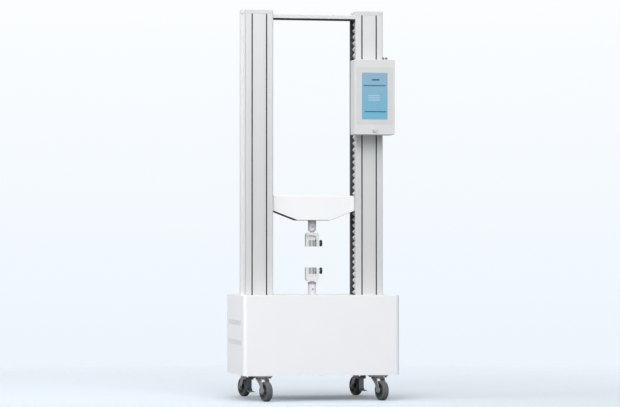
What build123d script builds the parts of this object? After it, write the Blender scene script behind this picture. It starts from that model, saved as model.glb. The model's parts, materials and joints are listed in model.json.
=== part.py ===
from build123d import *

import os
from math import cos, hypot, radians, sin

# Floor-standing universal testing machine with two columns, on casters.
# Millimetres, +Z up, +X to the right, -Y towards the person at the front.
# The origin is on the floor, under the middle of the base.

# General fits
touch_gap = 0.3
running_gap = 0.05
sheet = 2.0
edge_break = 1.0

# Casters
caster_height = 120.0
wheel_diameter = 94.0
wheel_width = 30.0
tyre_thickness = 12.0
hub_boss = 6.0
hub_boss_proud = 2.0
hub_rim = 4.0
hub_draft = 1.5
caster_trail = 40.0
caster_swivel = 16.0
swivel_inset_x = 97.0
swivel_inset_y = 45.0
caster_plate_size = 84.0
caster_plate_thickness = 6.0
caster_plate_corner = 6.0
caster_bolt_spacing = 62.0
caster_bolt_hole = 9.0
swivel_race_diameter = 54.0
fork_thickness = 3.5
fork_side_gap = 3.0
fork_crown_clearance = 8.0
crown_thickness = 5.0
axle_diameter = 10.0
axle_head_width = 17.0
axle_head_height = 6.0
fork_eye_radius = 13.0
fork_hollow = 9.0
pedal_pivot_y = -16.0
pedal_pivot_drop = 14.0
pedal_pin_diameter = 6.0
pedal_width = 26.0
pedal_thickness = 4.0
pedal_drop = 62.0
pedal_reach = 36.0
pedal_bend = 20.0

# Base
base_width = 750.0
base_depth = 500.0
base_height = 376.0
base_corner = 20.0
base_plate_thickness = 10.0
table_thickness = 30.0
post_size = 50.0
post_wall = 4.0
post_inset = 14.0
vent_height = 23.0
vent_width = 5.0
vent_pitch = 15.0
vent_count = 25
vent_levels = (153.0, 246.0)
rear_window_margin = 45.0
rear_cover_overlap = 15.0
inlet_inset = 125.0
inlet_level = 75.0
inlet_width = 50.0
inlet_height = 30.0
inlet_depth = 24.0
inlet_flange = 3.0
inlet_recess = 19.0
inlet_pin_length = 13.0
inlet_pin_pitch = 9.0

# Columns
test_width = 400.0
column_width = 135.0
column_depth = 124.0
column_wall = 12.0
column_web = 9.0
column_corner = 5.0
column_height = 1342.5
groove_spacing = 70.0
groove_width = 6.0
groove_depth = 7.0
cap_height = 20.0
cap_edge = 2.0
liner_thickness = 2.0
duct_width = 21.0
duct_depth = 38.0
duct_corner = 18.0
duct_setback = 1.0
top_beam_height = 19.0
top_beam_depth = 110.0

# Drive
screw_inset = 41.5
screw_diameter = 25.0
screw_hole = 31.0
journal_diameter = 17.0
guide_inset = 103.0
guide_diameter = 20.0
bearing_height = 24.5
bearing_diameter = 58.0
bearing_flange_diameter = 78.0
bearing_flange_thickness = 9.0
pulley_diameter = 60.0
pulley_height = 28.0
pulley_level = 65.0
flange_rise = 3.0
flange_thickness = 2.0
belt_thickness = 4.0
belt_width = 23.0
motor_offset = 130.0
motor_width = 100.0
reducer_height = 56.0
motor_pulley_diameter = 40.0
motor_shaft_diameter = 16.0
motor_shaft_seat = 20.0
motor_clearance = 30.0
motor_corner = 12.0
motor_groove_width = 6.0
motor_groove_depth = 2.0
controller_width = 210.0
controller_depth = 110.0
controller_height = 190.0
controller_y = -150.0
controller_corner = 5.0
fin_count = 9
fin_gap = 8.0
fin_depth = 12.0
fin_end = 10.0

# Dust bellows
fold_pitch = 30.0
fold_outer = 43.0
fold_inner = 31.5
fold_sides = 8
bellows_bore = 48.0

# Crosshead, at the height that it has at rest
crosshead_top = 971.5
crosshead_end_height = 73.5
crosshead_mid_height = 118.0
crosshead_flat_half = 80.0
crosshead_depth = 100.0
crosshead_side_gap = 5.0
crosshead_edge = 3.0
stem_clearance = 2.0
cover_boss_x = 150.0
cover_boss_diameter = 14.0
beam_height = 54.0
beam_depth = 60.0
beam_drop = 11.0
beam_chamfer = 3.0
carriage_reach = 117.0
carriage_depth = 88.0
carriage_margin = 4.0
carriage_corner = 4.0
nut_diameter = 40.0
bush_diameter = 32.0
load_cell_width = 62.0
load_cell_depth = 28.0
load_cell_height = 45.0
load_cell_slot = 4.0
load_cell_cut = 50.0
load_cell_corner = 3.0

# Grips
stem_diameter = 39.0
upper_stem_drop = 52.5
stem_chamfer = 4.0
spigot_diameter = 22.0
spigot_length = 6.0
stem_pin_diameter = 10.0
stem_pin_proud = 1.0
upper_pin_level = 22.0
grip_width = 62.0
grip_height = 66.5
grip_depth = 44.0
grip_arm = 13.0
grip_bar = 14.0
grip_corner = 13.0
grip_pocket_depth = 9.0
grip_pocket_corner = 8.0
grip_proud_arm = 15.0
jaw_depth = 26.0
jaw_height = 31.0
jaw_slot_depth = 33.0
jaw_gap = 8.0
fixed_jaw_thickness = 14.0
moving_jaw_thickness = 10.0
serration_count = 7
serration_depth = 0.8
clamp_screw_diameter = 12.0
clamp_socket_depth = 4.0
knob_diameter = 31.0
knob_thickness = 10.0
knob_gap = 7.0
knob_flutes = 10
knob_flute_radius = 2.2
knob_edge = 2.0
lower_stem_height = 50.0
lock_ring_height = 12.0
lock_ring_proud = 0.5
lock_ring_notches = 8
lock_notch_depth = 3.0
lock_notch_width = 4.0
lower_neck = 3.0
lower_pin_level = 27.5

# Control panel on the right column
panel_width = 196.0
panel_height = 358.0
panel_depth = 96.0
panel_front_thickness = 4.0
panel_bottom = 1261.5
panel_shift = 5.0
panel_corner = 6.0
bracket_width = 90.0
bracket_height = 220.0
bracket_thickness = 5.0
bracket_corner = 8.0
overlay_width = 178.0
overlay_height = 272.0
overlay_lift = 4.0
overlay_recess = 0.8
overlay_corner = 4.0
screen_width = 125.0
screen_height = 223.0
screen_thickness = 3.0
screen_corner = 2.0
button_diameter = 20.0
button_collar_diameter = 26.0
button_collar_thickness = 2.0
button_proud = 6.0
button_depth = 18.0
button_edge = 1.5
button_level = 21.5
connector_diameter = 11.0
connector_height = 15.0
connector_pitch = 14.0
connector_inset = 27.5
connector_setback = 33.0
connector_neck = 8.8
connector_groove = 2.0

# Levels and places that follow from the sizes above
base_bottom = caster_height
base_top = base_bottom + base_height
swivel_x = base_width / 2 - swivel_inset_x
swivel_y = base_depth / 2 - swivel_inset_y
inlet_x = inlet_inset - base_width / 2
table_top = base_top - sheet
table_bottom = table_top - table_thickness
column_top = base_top + column_height
column_inner = test_width / 2
column_middle = column_inner + column_width / 2
column_outer = column_inner + column_width
column_front = -column_depth / 2
channel_half = column_depth / 2 - column_wall
screw_x = column_inner + screw_inset
guide_x = column_inner + guide_inset
upper_bearing_bottom = column_top - bearing_height
crosshead_bottom = crosshead_top - crosshead_mid_height
crosshead_end_bottom = crosshead_top - crosshead_end_height
crosshead_half = column_inner - crosshead_side_gap
carriage_top = crosshead_top - carriage_margin
carriage_bottom = crosshead_end_bottom + carriage_margin
beam_top = crosshead_top - beam_drop
beam_bottom = beam_top - beam_height
load_cell_bottom = beam_bottom - load_cell_height
upper_stem_bottom = crosshead_bottom - upper_stem_drop
upper_grip_top = upper_stem_bottom - spigot_length
upper_jaw_middle = upper_grip_top - grip_height + jaw_height / 2
lower_stem_top = base_top + lower_stem_height
lower_grip_bottom = lower_stem_top + lock_ring_height + lower_neck
lower_jaw_middle = lower_grip_bottom + grip_height - jaw_height / 2
moving_face = -grip_width / 2 + grip_arm + fixed_jaw_thickness + jaw_gap
moving_back = moving_face + moving_jaw_thickness
knob_inner = grip_width / 2 + knob_gap
motor_floor = base_bottom + pulley_level + pulley_height + motor_clearance
panel_middle = column_middle + panel_shift
panel_back = column_front - bracket_thickness
panel_front = panel_back - panel_depth
panel_face = panel_front - panel_front_thickness
panel_centre_z = panel_bottom + panel_height / 2
axle_level = wheel_diameter / 2


def block(x0, x1, y0, y1, z0, z1):
    """A box between two corners."""
    middle = ((x0 + x1) / 2, (y0 + y1) / 2, (z0 + z1) / 2)
    return Pos(*middle) * Box(x1 - x0, y1 - y0, z1 - z0)


def post(x, y, z0, z1, diameter):
    """An upright cylinder."""
    return Pos(x, y, (z0 + z1) / 2) * Cylinder(diameter / 2, z1 - z0)


def cross_rod(x0, x1, y, z, diameter):
    """A cylinder along X."""
    return Pos((x0 + x1) / 2, y, z) * Rot(0, 90, 0) * Cylinder(diameter / 2, x1 - x0)


def depth_rod(x, y0, y1, z, diameter):
    """A cylinder along Y."""
    return Pos(x, (y0 + y1) / 2, z) * Rot(90, 0, 0) * Cylinder(diameter / 2, y1 - y0)


def rounded_slab(width, depth, z0, z1, corner):
    """An upright slab about the Z axis with round vertical corners."""
    return Pos(0, 0, z0) * extrude(RectangleRounded(width, depth, corner), z1 - z0)


def other_side(solid):
    """The same solid on the other side of the machine."""
    return mirror(solid, about=Plane.YZ)


def both_sides(solid):
    """A solid and its twin as one group."""
    return Compound([solid, other_side(solid)])


# Base


def base_frame():
    """Bottom plate with four square tube posts that carry the table."""
    inner = 2 * (sheet + touch_gap)
    plate_top = base_bottom + base_plate_thickness
    plate = rounded_slab(base_width - inner, base_depth - inner, base_bottom, plate_top, base_corner)
    reach_x = base_width / 2 - sheet - post_inset - post_size / 2
    reach_y = base_depth / 2 - sheet - post_inset - post_size / 2
    hollow = post_size - 2 * post_wall
    tube = Rectangle(post_size, post_size) - Rectangle(hollow, hollow)
    length = table_bottom - plate_top
    posts = [
        Pos(sx * reach_x, sy * reach_y, plate_top) * extrude(tube, length) for sx in (-1, 1) for sy in (-1, 1)
    ]
    return Compound([plate, *posts])


def base_table():
    """Thick plate that ties the columns, with holes for the two screws."""
    margin = 2 * (sheet + post_inset)
    table = rounded_slab(base_width - margin, base_depth - margin, table_bottom, table_top, base_corner)
    for side in (-1, 1):
        table -= post(side * screw_x, 0, table_bottom, table_top, screw_hole)
    return table


def vent_row(level):
    """A row of narrow upright slots, centred on the vertical axis of a wall."""
    return Pos(0, base_bottom + level) * GridLocations(vent_pitch, 0, vent_count, 1) * Rectangle(
        vent_width, vent_height
    )


def base_housing():
    """Sheet metal shell: round corners, vents in both sides, a window at the back."""
    shell = rounded_slab(base_width, base_depth, base_bottom, base_top, base_corner)
    shell -= rounded_slab(
        base_width - 2 * sheet, base_depth - 2 * sheet, base_bottom, base_top - sheet, base_corner - sheet
    )
    for level in vent_levels:
        for slot in vent_row(level):
            shell -= extrude(Plane.YZ * slot, base_width, both=True)
    foot_inner = column_inner - liner_thickness - touch_gap
    foot_outer = column_outer + touch_gap
    foot_half = column_depth / 2 + touch_gap
    foot = block(foot_inner, foot_outer, -foot_half, foot_half, base_top - 2 * sheet, base_top + sheet)
    shell -= foot
    shell -= other_side(foot)
    shell -= Pos(0, 0, base_top - 2 * sheet) * extrude(offset(duct_profile(), touch_gap), 4 * sheet)
    shell -= post(0, 0, base_top - 2 * sheet, base_top + sheet, stem_diameter + 2 * touch_gap)
    window_x = base_width / 2 - rear_window_margin
    shell -= block(
        -window_x,
        window_x,
        base_depth / 2 - 2 * sheet,
        base_depth / 2 + sheet,
        base_bottom + rear_window_margin,
        base_top - rear_window_margin,
    )
    return shell


def rear_cover():
    """Back panel with vents and a cut-out for the mains inlet."""
    half = base_width / 2 - rear_window_margin + rear_cover_overlap
    back = base_depth / 2
    low = base_bottom + rear_window_margin - rear_cover_overlap
    high = base_top - rear_window_margin + rear_cover_overlap
    cover = block(-half, half, back, back + sheet, low, high)
    cover = fillet(cover.edges().filter_by(Axis.Y), base_corner / 2)
    for slot in vent_row(vent_levels[-1]):
        cover -= Pos(0, back, 0) * extrude(Plane.XZ * slot, 2 * sheet, both=True)
    body = (inlet_width - 2 * inlet_flange, inlet_height - 2 * inlet_flange)
    cut = Box(body[0] + touch_gap, 4 * sheet, body[1] + touch_gap)
    return cover - Pos(inlet_x, back, base_bottom + inlet_level) * cut


def mains_inlet():
    """Appliance inlet with a recess and three pins."""
    back = base_depth / 2 + sheet
    level = base_bottom + inlet_level
    flange = Pos(inlet_x, back + inlet_flange / 2, level) * Box(inlet_width, inlet_flange, inlet_height)
    flange = fillet(flange.edges().filter_by(Axis.Y), inlet_flange)
    body_x = inlet_width - 2 * inlet_flange
    body_z = inlet_height - 2 * inlet_flange
    body = Pos(inlet_x, back - inlet_depth / 2, level) * Box(body_x, inlet_depth, body_z)
    recess_middle = back + inlet_flange - inlet_recess / 2
    recess = Pos(inlet_x, recess_middle, level) * Box(
        body_x - 2 * inlet_flange, inlet_recess, body_z - 2 * inlet_flange
    )
    inlet = flange + body - recess
    pin_size = inlet_flange / 2
    for step in (-1, 0, 1):
        drop = -inlet_flange if step == 0 else inlet_flange / 2
        pin = Box(pin_size, inlet_pin_length, 2 * pin_size)
        seat = recess_middle - (inlet_recess - inlet_pin_length) / 2
        inlet += Pos(inlet_x + step * inlet_pin_pitch, seat, level + drop) * pin
    return inlet


# Columns


def column_profile():
    """Section of the right column: a channel, open to the test space, with two grooves in front."""
    outer = RectangleRounded(column_width, column_depth, column_corner)
    hollow_width = column_width - column_web
    section = outer - Pos(-column_web / 2, 0) * Rectangle(hollow_width, 2 * channel_half)
    for side in (-1, 1):
        groove = Rectangle(groove_width, 2 * groove_depth)
        section -= Pos(side * groove_spacing / 2, column_front) * groove
    return section


def right_column():
    """Extruded column that stands on the table."""
    return Pos(column_middle, 0, table_top) * extrude(column_profile(), column_top - table_top)


def column_caps():
    """Moulded end caps of the two columns, and of the cable duct beside the left one."""
    cap = Pos(column_middle, 0, column_top) * extrude(
        RectangleRounded(column_width, column_depth, column_corner), cap_height
    )
    cap = fillet(cap.faces().sort_by(Axis.Z)[-1].edges(), cap_edge)
    duct = Pos(0, 0, column_top) * extrude(duct_profile(), cap_height)
    return Compound([cap, other_side(cap), duct])


def channel_liners():
    """Dark folded strips that line the inside of both channels and edge their rear walls."""
    length = column_top - top_beam_height - table_top
    outside = 2 * (channel_half - touch_gap)
    width = column_width - column_web - touch_gap
    section = Rectangle(width, outside) - Pos(-liner_thickness / 2, 0) * Rectangle(
        width - liner_thickness, outside - 2 * liner_thickness
    )
    middle = column_inner + width / 2
    edge_depth = column_wall + touch_gap
    edge_y = channel_half - touch_gap + edge_depth / 2
    lip_y = edge_y - liner_thickness / 2
    lip_depth = edge_depth + liner_thickness
    lip = Pos(-width / 2 - liner_thickness / 2, lip_y) * Rectangle(liner_thickness, lip_depth)
    liner = Pos(middle, 0, table_top) * extrude(section + lip, length)
    return both_sides(liner)


def duct_profile():
    """Outline of the cable duct: a strip beside the left column with one round corner in front."""
    outer = -column_outer - duct_width
    front = column_front + duct_setback
    back = front + duct_depth
    corner = duct_corner
    with BuildSketch() as section:
        with BuildLine():
            Line((-column_outer, front), (outer + corner, front))
            RadiusArc((outer + corner, front), (outer, front + corner), -corner)
            Polyline((outer, front + corner), (outer, back), (-column_outer, back), (-column_outer, front))
        make_face()
    return section.sketch


def cable_duct():
    """Hollow strip that carries the sensor and limit switch wires up the left column."""
    height = column_top - table_top
    duct = Pos(0, 0, table_top) * extrude(duct_profile(), height)
    hollow_x = duct_width - 2 * sheet
    hollow_y = duct_depth - duct_corner - sheet
    middle_x = -column_outer - hollow_x / 2
    middle_y = column_front + duct_setback + duct_depth - sheet - hollow_y / 2
    hollow = Pos(middle_x, middle_y, table_top) * extrude(Rectangle(hollow_x, hollow_y), height)
    return duct - hollow


def top_beam():
    """Plate that ties the two columns at the top."""
    beam = block(
        -column_inner,
        column_inner,
        -top_beam_depth / 2,
        top_beam_depth / 2,
        column_top - top_beam_height,
        column_top,
    )
    return chamfer(beam.edges().filter_by(Axis.X), edge_break)


# Drive


def pulley(diameter, bore):
    """Belt pulley with two flanges, standing on z = 0."""
    flange = diameter + 2 * flange_rise
    body = Pos(0, 0, pulley_height / 2) * Cylinder(diameter / 2, pulley_height)
    for low in (0, pulley_height - flange_thickness):
        body += Pos(0, 0, low + flange_thickness / 2) * Cylinder(flange / 2, flange_thickness)
    return body - Pos(0, 0, pulley_height / 2) * Cylinder(bore / 2, pulley_height)


def right_ball_screw():
    """Ball screw with turned-down ends, and its pulley."""
    foot = base_bottom + pulley_level - touch_gap
    shaft = post(screw_x, 0, foot, column_top - touch_gap, journal_diameter)
    shaft += post(screw_x, 0, table_bottom + touch_gap, upper_bearing_bottom - touch_gap, screw_diameter)
    wheel = Pos(screw_x, 0, base_bottom + pulley_level) * pulley(pulley_diameter, journal_diameter)
    return Compound([shaft, wheel])


def screw_bearings():
    """Bearing housings: flanged ones under the table and blocks at the top of each column."""
    bore = journal_diameter + 2 * running_gap
    lower = post(screw_x, 0, table_bottom - bearing_height, table_bottom, bearing_diameter)
    lower += post(screw_x, 0, table_bottom - bearing_flange_thickness, table_bottom, bearing_flange_diameter)
    lower -= post(screw_x, 0, table_bottom - bearing_height, table_bottom, bore)
    half = bearing_diameter / 2
    depth = channel_half - liner_thickness - touch_gap
    upper = block(screw_x - half, screw_x + half, -depth, depth, upper_bearing_bottom, column_top)
    upper -= post(screw_x, 0, upper_bearing_bottom, column_top, bore)
    return Compound([lower, upper, other_side(lower), other_side(upper)])


def guide_rods():
    """Hardened rods that guide the crosshead inside the columns."""
    rod = post(guide_x, 0, table_top, column_top, guide_diameter)
    rod = chamfer(rod.edges().filter_by(GeomType.CIRCLE), edge_break)
    return both_sides(rod)


def servo_motor():
    """Motor under the table with its reducer below."""
    motor_bottom = motor_floor + reducer_height
    motor = Pos(0, motor_offset, motor_bottom) * extrude(
        RectangleRounded(motor_width, motor_width, motor_corner), table_bottom - motor_bottom
    )
    core = motor_width - 2 * motor_groove_depth
    groove = Box(2 * motor_width, 2 * motor_width, motor_groove_width) - Box(core, core, motor_groove_width)
    motor -= Pos(0, motor_offset, (table_bottom + motor_bottom) / 2) * groove
    reducer = post(0, motor_offset, motor_floor, motor_bottom, motor_width - 2 * motor_corner)
    socket = motor_shaft_diameter + 2 * running_gap
    reducer -= post(0, motor_offset, motor_floor, motor_floor + motor_shaft_seat + touch_gap, socket)
    return Compound([motor, reducer])


def motor_pulley():
    """Output shaft of the reducer with the small pulley."""
    level = base_bottom + pulley_level
    shaft = post(0, motor_offset, level, motor_floor + motor_shaft_seat, motor_shaft_diameter)
    wheel = Pos(0, motor_offset, level) * pulley(motor_pulley_diameter, motor_shaft_diameter)
    return Compound([shaft, wheel])


def belt_outline(extra):
    """Hull round the three pulleys, a little larger than they are."""
    with BuildSketch() as area:
        for x, y, diameter in (
            (-screw_x, 0, pulley_diameter),
            (screw_x, 0, pulley_diameter),
            (0, motor_offset, motor_pulley_diameter),
        ):
            with Locations((x, y)):
                Circle(diameter / 2 + extra)
        make_hull()
    return area.sketch


def drive_belt():
    """Timing belt round the two screw pulleys and the motor pulley."""
    band = belt_outline(touch_gap + belt_thickness) - belt_outline(touch_gap)
    low = base_bottom + pulley_level + (pulley_height - belt_width) / 2
    return Pos(0, 0, low) * extrude(band, belt_width)


def motor_controller():
    """Drive and control electronics in a finned case on the bottom plate."""
    middle = base_bottom + base_plate_thickness + controller_height / 2
    case = Pos(0, controller_y, middle) * Box(controller_width, controller_depth, controller_height)
    case = fillet(case.edges().filter_by(Axis.Z), controller_corner)
    gap = Box(fin_gap, 2 * fin_depth, controller_height - 2 * fin_end)
    for place in GridLocations(controller_width / (fin_count + 1), 0, fin_count, 1):
        case -= Pos(0, controller_y - controller_depth / 2, middle) * place * gap
    return case


# Dust bellows


def right_bellows(z0, z1):
    """Folded dust cover round the right screw between two levels."""
    folds = max(2, round((z1 - z0) / fold_pitch))
    step = (z1 - z0) / (2 * folds)
    rings = []
    for index in range(2 * folds + 1):
        reach = fold_outer if index % 2 else fold_inner
        ring = RegularPolygon(reach, fold_sides, major_radius=False, rotation=180 / fold_sides)
        rings.append(Pos(screw_x, 0, z0 + index * step) * ring)
    cover = loft(rings, ruled=True)
    return cover - post(screw_x, 0, z0, z1, bellows_bore)


# Crosshead


def crosshead_outline(inset=0.0):
    """Outline of the crosshead seen from the front, on the XZ plane."""
    half = crosshead_half
    low = crosshead_bottom + inset
    end = crosshead_end_bottom + inset
    flat = crosshead_flat_half
    top = crosshead_top - inset
    points = [(-half, end), (-flat, low), (flat, low), (half, end), (half, top), (-half, top)]
    return Plane.XZ * make_face(Polyline(*points, close=True))


def crosshead_cover(back):
    """One half of the sheet cover, open at both ends and underneath for the stem."""
    half = crosshead_depth / 2
    cover = extrude(crosshead_outline(), half)
    front = cover.faces().sort_by(Axis.Y)[0]
    cover = fillet(front.edges(), crosshead_edge)
    cover -= extrude(crosshead_outline(sheet), half - sheet)
    hole = stem_diameter + 2 * stem_clearance
    cover -= post(0, 0, crosshead_bottom, crosshead_bottom + sheet, hole)
    for x in (-cover_boss_x, cover_boss_x):
        boss_z = (beam_bottom + beam_top) / 2
        cover += depth_rod(x, sheet - half, -beam_depth / 2, boss_z, cover_boss_diameter)
    return mirror(cover, about=Plane.XZ) if back else cover


def crosshead_beam():
    """Beam that carries the load, between the two carriages."""
    beam = block(-column_inner, column_inner, -beam_depth / 2, beam_depth / 2, beam_bottom, beam_top)
    return chamfer(beam.edges().filter_by(Axis.X), beam_chamfer)


def crosshead_carriages():
    """Blocks at the ends of the beam that run inside the columns."""
    block_end = column_inner + carriage_reach
    carriage = block(
        column_inner, block_end, -carriage_depth / 2, carriage_depth / 2, carriage_bottom, carriage_top
    )
    carriage = fillet(carriage.edges().filter_by(Axis.Z), carriage_corner)
    carriage -= post(screw_x, 0, carriage_bottom, carriage_top, nut_diameter)
    carriage -= post(guide_x, 0, carriage_bottom, carriage_top, bush_diameter)
    return both_sides(carriage)


def carriage_bushings():
    """Ball nuts on the screws and plain bushes on the guide rods."""
    nut = post(screw_x, 0, carriage_bottom, carriage_top, nut_diameter)
    nut -= post(screw_x, 0, carriage_bottom, carriage_top, screw_diameter + 2 * running_gap)
    bush = post(guide_x, 0, carriage_bottom, carriage_top, bush_diameter)
    bush -= post(guide_x, 0, carriage_bottom, carriage_top, guide_diameter + 2 * running_gap)
    return Compound([nut, bush, other_side(nut), other_side(bush)])


def load_cell():
    """S-shaped force sensor: a block with two slots cut from opposite sides."""
    half = load_cell_width / 2
    cell = block(
        -half, half, -load_cell_depth / 2, load_cell_depth / 2, load_cell_bottom, beam_bottom
    )
    cell = fillet(cell.edges().filter_by(Axis.Y), load_cell_corner)
    arm = load_cell_height / 4
    for side, level in ((-1, load_cell_bottom + arm), (1, beam_bottom - arm)):
        middle = side * (half - load_cell_cut / 2)
        cell -= Pos(middle, 0, level) * Box(load_cell_cut, load_cell_depth, load_cell_slot)
    return cell


# Grips


def upper_stem():
    """Round stem below the load cell with its cross pin."""
    stem = post(0, 0, upper_stem_bottom, load_cell_bottom, stem_diameter)
    stem = chamfer(stem.edges().filter_by(GeomType.CIRCLE).sort_by(Axis.Z)[0], stem_chamfer)
    stem += post(0, 0, upper_grip_top, upper_stem_bottom, spigot_diameter)
    return stem_with_pin(stem, upper_stem_bottom + upper_pin_level)


def lower_stem():
    """Round stem on the table with its cross pin."""
    stem = post(0, 0, table_top, lower_stem_top, stem_diameter)
    stem += post(0, 0, lower_stem_top, lower_grip_bottom, spigot_diameter)
    return stem_with_pin(stem, base_top + lower_pin_level)


def stem_with_pin(stem, level):
    """A stem drilled from front to back, and the pin in the hole."""
    reach = stem_diameter / 2 + stem_pin_proud
    pin = depth_rod(0, -reach, reach, level, stem_pin_diameter)
    pin = fillet(pin.edges().filter_by(GeomType.CIRCLE), edge_break)
    return Compound([stem - depth_rod(0, -reach, reach, level, stem_pin_diameter), pin])


def lock_ring():
    """Round nut with grip slots that locks the lower grip on its stem."""
    diameter = stem_diameter + 2 * lock_ring_proud
    ring = post(0, 0, lower_stem_top, lower_stem_top + lock_ring_height, diameter)
    ring = chamfer(ring.edges().filter_by(GeomType.CIRCLE), edge_break)
    ring -= post(0, 0, lower_stem_top, lower_stem_top + lock_ring_height, spigot_diameter)
    for index in range(lock_ring_notches):
        turn = Rot(0, 0, (index + 0.5) * 360 / lock_ring_notches)
        notch = Box(lock_notch_depth, lock_notch_width, lock_ring_height)
        ring -= turn * Pos(stem_diameter / 2, 0, lower_stem_top + lock_ring_height / 2) * notch
    return ring


def lower_grip_body():
    """Body of a screw grip that opens upwards: a slot for the jaws, and a pocket in front.

    The pocket leaves the bar along the bottom and the arm on the screw's side proud.
    """
    half = grip_width / 2
    low = lower_grip_bottom
    high = low + grip_height
    outline = Pos(0, low + grip_height / 2) * Rectangle(grip_width, grip_height)
    outline = fillet(outline.vertices().group_by(Axis.Y)[0], grip_corner)
    slot_width = grip_width - 2 * grip_arm
    slot = Pos(0, high - jaw_slot_depth / 2) * Rectangle(slot_width, jaw_slot_depth)
    body = extrude(Plane.XZ * (outline - slot), grip_depth / 2, both=True)
    body = chamfer(body.edges().group_by(Axis.Z)[-1], edge_break)
    pocket_right = half - grip_proud_arm
    pocket_height = grip_height - grip_bar + grip_pocket_corner
    pocket_width = grip_width - grip_proud_arm + grip_pocket_corner
    pocket = Pos(pocket_right - pocket_width / 2, low + grip_bar + pocket_height / 2) * Rectangle(
        pocket_width, pocket_height
    )
    pocket = fillet(pocket.vertices().sort_by(Axis.Y)[:2].sort_by(Axis.X)[-1], grip_pocket_corner)
    body -= Pos(0, -grip_depth / 2 + grip_pocket_depth, 0) * extrude(Plane.XZ * pocket, grip_depth)
    bore = clamp_screw_diameter + 2 * running_gap
    return body - cross_rod(half - grip_arm, half, 0, lower_jaw_middle, bore)


def fixed_jaw(level):
    """Jaw against the left arm, with a serrated face."""
    back = -grip_width / 2 + grip_arm
    face = back + fixed_jaw_thickness
    half = jaw_height / 2
    jaw = block(back, face, -jaw_depth / 2, jaw_depth / 2, level - half, level + half)
    return serrated(jaw, face, level)


def serrated(jaw, face, level):
    """A jaw with shallow horizontal grooves across its gripping face."""
    pitch = jaw_height / (serration_count + 1)
    for index in range(serration_count):
        z = level - jaw_height / 2 + (index + 1) * pitch
        groove = Rot(0, 45, 0) * Box(serration_depth, jaw_depth, serration_depth)
        jaw -= Pos(face, 0, z) * groove
    return jaw


def moving_jaw(level):
    """Jaw that the clamp screw pushes, with a socket for the screw's tip."""
    half = jaw_height / 2
    jaw = block(moving_face, moving_back, -jaw_depth / 2, jaw_depth / 2, level - half, level + half)
    jaw = serrated(jaw, moving_face, level)
    bore = clamp_screw_diameter + 2 * running_gap
    return jaw - cross_rod(moving_back - clamp_socket_depth, moving_back, 0, level, bore)


def clamp_screw(level):
    """Screw through the right arm of a grip."""
    tip = moving_back - clamp_socket_depth + touch_gap
    screw = cross_rod(tip, knob_inner + knob_thickness / 2, 0, level, clamp_screw_diameter)
    return chamfer(screw.edges().filter_by(GeomType.CIRCLE).sort_by(Axis.X)[0], edge_break)


def clamp_knob(level):
    """Fluted hand knob on the end of the clamp screw."""
    knob = cross_rod(knob_inner, knob_inner + knob_thickness, 0, level, knob_diameter)
    knob = fillet(knob.edges().filter_by(GeomType.CIRCLE), knob_edge)
    reach = (knob_diameter + knob_flute_radius) / 2
    for index in range(knob_flutes):
        angle = radians(index * 360 / knob_flutes)
        knob -= cross_rod(
            knob_inner,
            knob_inner + knob_thickness,
            reach * cos(angle),
            level + reach * sin(angle),
            2 * knob_flute_radius,
        )
    return knob - cross_rod(knob_inner, knob_inner + knob_thickness / 2, 0, level, clamp_screw_diameter)


# Control panel


def panel_bracket():
    """Plate between the right column and the panel's case."""
    middle = (panel_middle + column_middle) / 2
    plate = Pos(middle, column_front - bracket_thickness / 2, panel_centre_z) * Box(
        bracket_width, bracket_thickness, bracket_height
    )
    return fillet(plate.edges().filter_by(Axis.Y), bracket_corner)


def panel_slab(width, height, front, back, corner, lift=0.0):
    """A slab on the panel's upright centre line with round corners seen from the front."""
    outline = Plane.XZ * RectangleRounded(width, height, corner)
    return Pos(panel_middle, back, panel_centre_z + lift) * extrude(outline, back - front)


def panel_case():
    """Deep sheet case, open at the front."""
    case = panel_slab(panel_width, panel_height, panel_front, panel_back, panel_corner)
    inner = panel_slab(
        panel_width - 2 * sheet,
        panel_height - 2 * sheet,
        panel_front,
        panel_back - sheet,
        panel_corner - sheet,
    )
    return case - inner


def panel_fascia():
    """Front plate with a shallow recess for the overlay, a window and a button hole."""
    plate = panel_slab(panel_width, panel_height, panel_face, panel_front, panel_corner)
    plate = chamfer(plate.faces().sort_by(Axis.Y)[0].edges(), edge_break)
    recess_back = panel_face + overlay_recess
    plate -= panel_slab(overlay_width, overlay_height, panel_face, recess_back, overlay_corner, overlay_lift)
    window_width = screen_width + 2 * touch_gap
    window_height = screen_height + 2 * touch_gap
    plate -= panel_slab(window_width, window_height, panel_face, panel_front, screen_corner, overlay_lift)
    level = panel_bottom + button_level
    return plate - depth_rod(panel_middle, panel_face, panel_front, level, button_diameter + 2 * touch_gap)


def panel_screen():
    """Display glass in the window."""
    front = panel_face + overlay_recess
    back = front + screen_thickness
    return panel_slab(screen_width, screen_height, front, back, screen_corner - touch_gap, overlay_lift)


def button_collar():
    """Metal collar round the button."""
    level = panel_bottom + button_level
    front = panel_face - button_collar_thickness
    collar = depth_rod(panel_middle, front, panel_face, level, button_collar_diameter)
    collar = fillet(collar.faces().sort_by(Axis.Y)[0].edges(), edge_break)
    return collar - depth_rod(panel_middle, front, panel_face, level, button_diameter + 2 * touch_gap)


def panel_button():
    """Round push button."""
    level = panel_bottom + button_level
    front = panel_face - button_proud
    button = depth_rod(panel_middle, front, front + button_depth, level, button_diameter)
    return fillet(button.faces().sort_by(Axis.Y)[0].edges(), button_edge)


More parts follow.
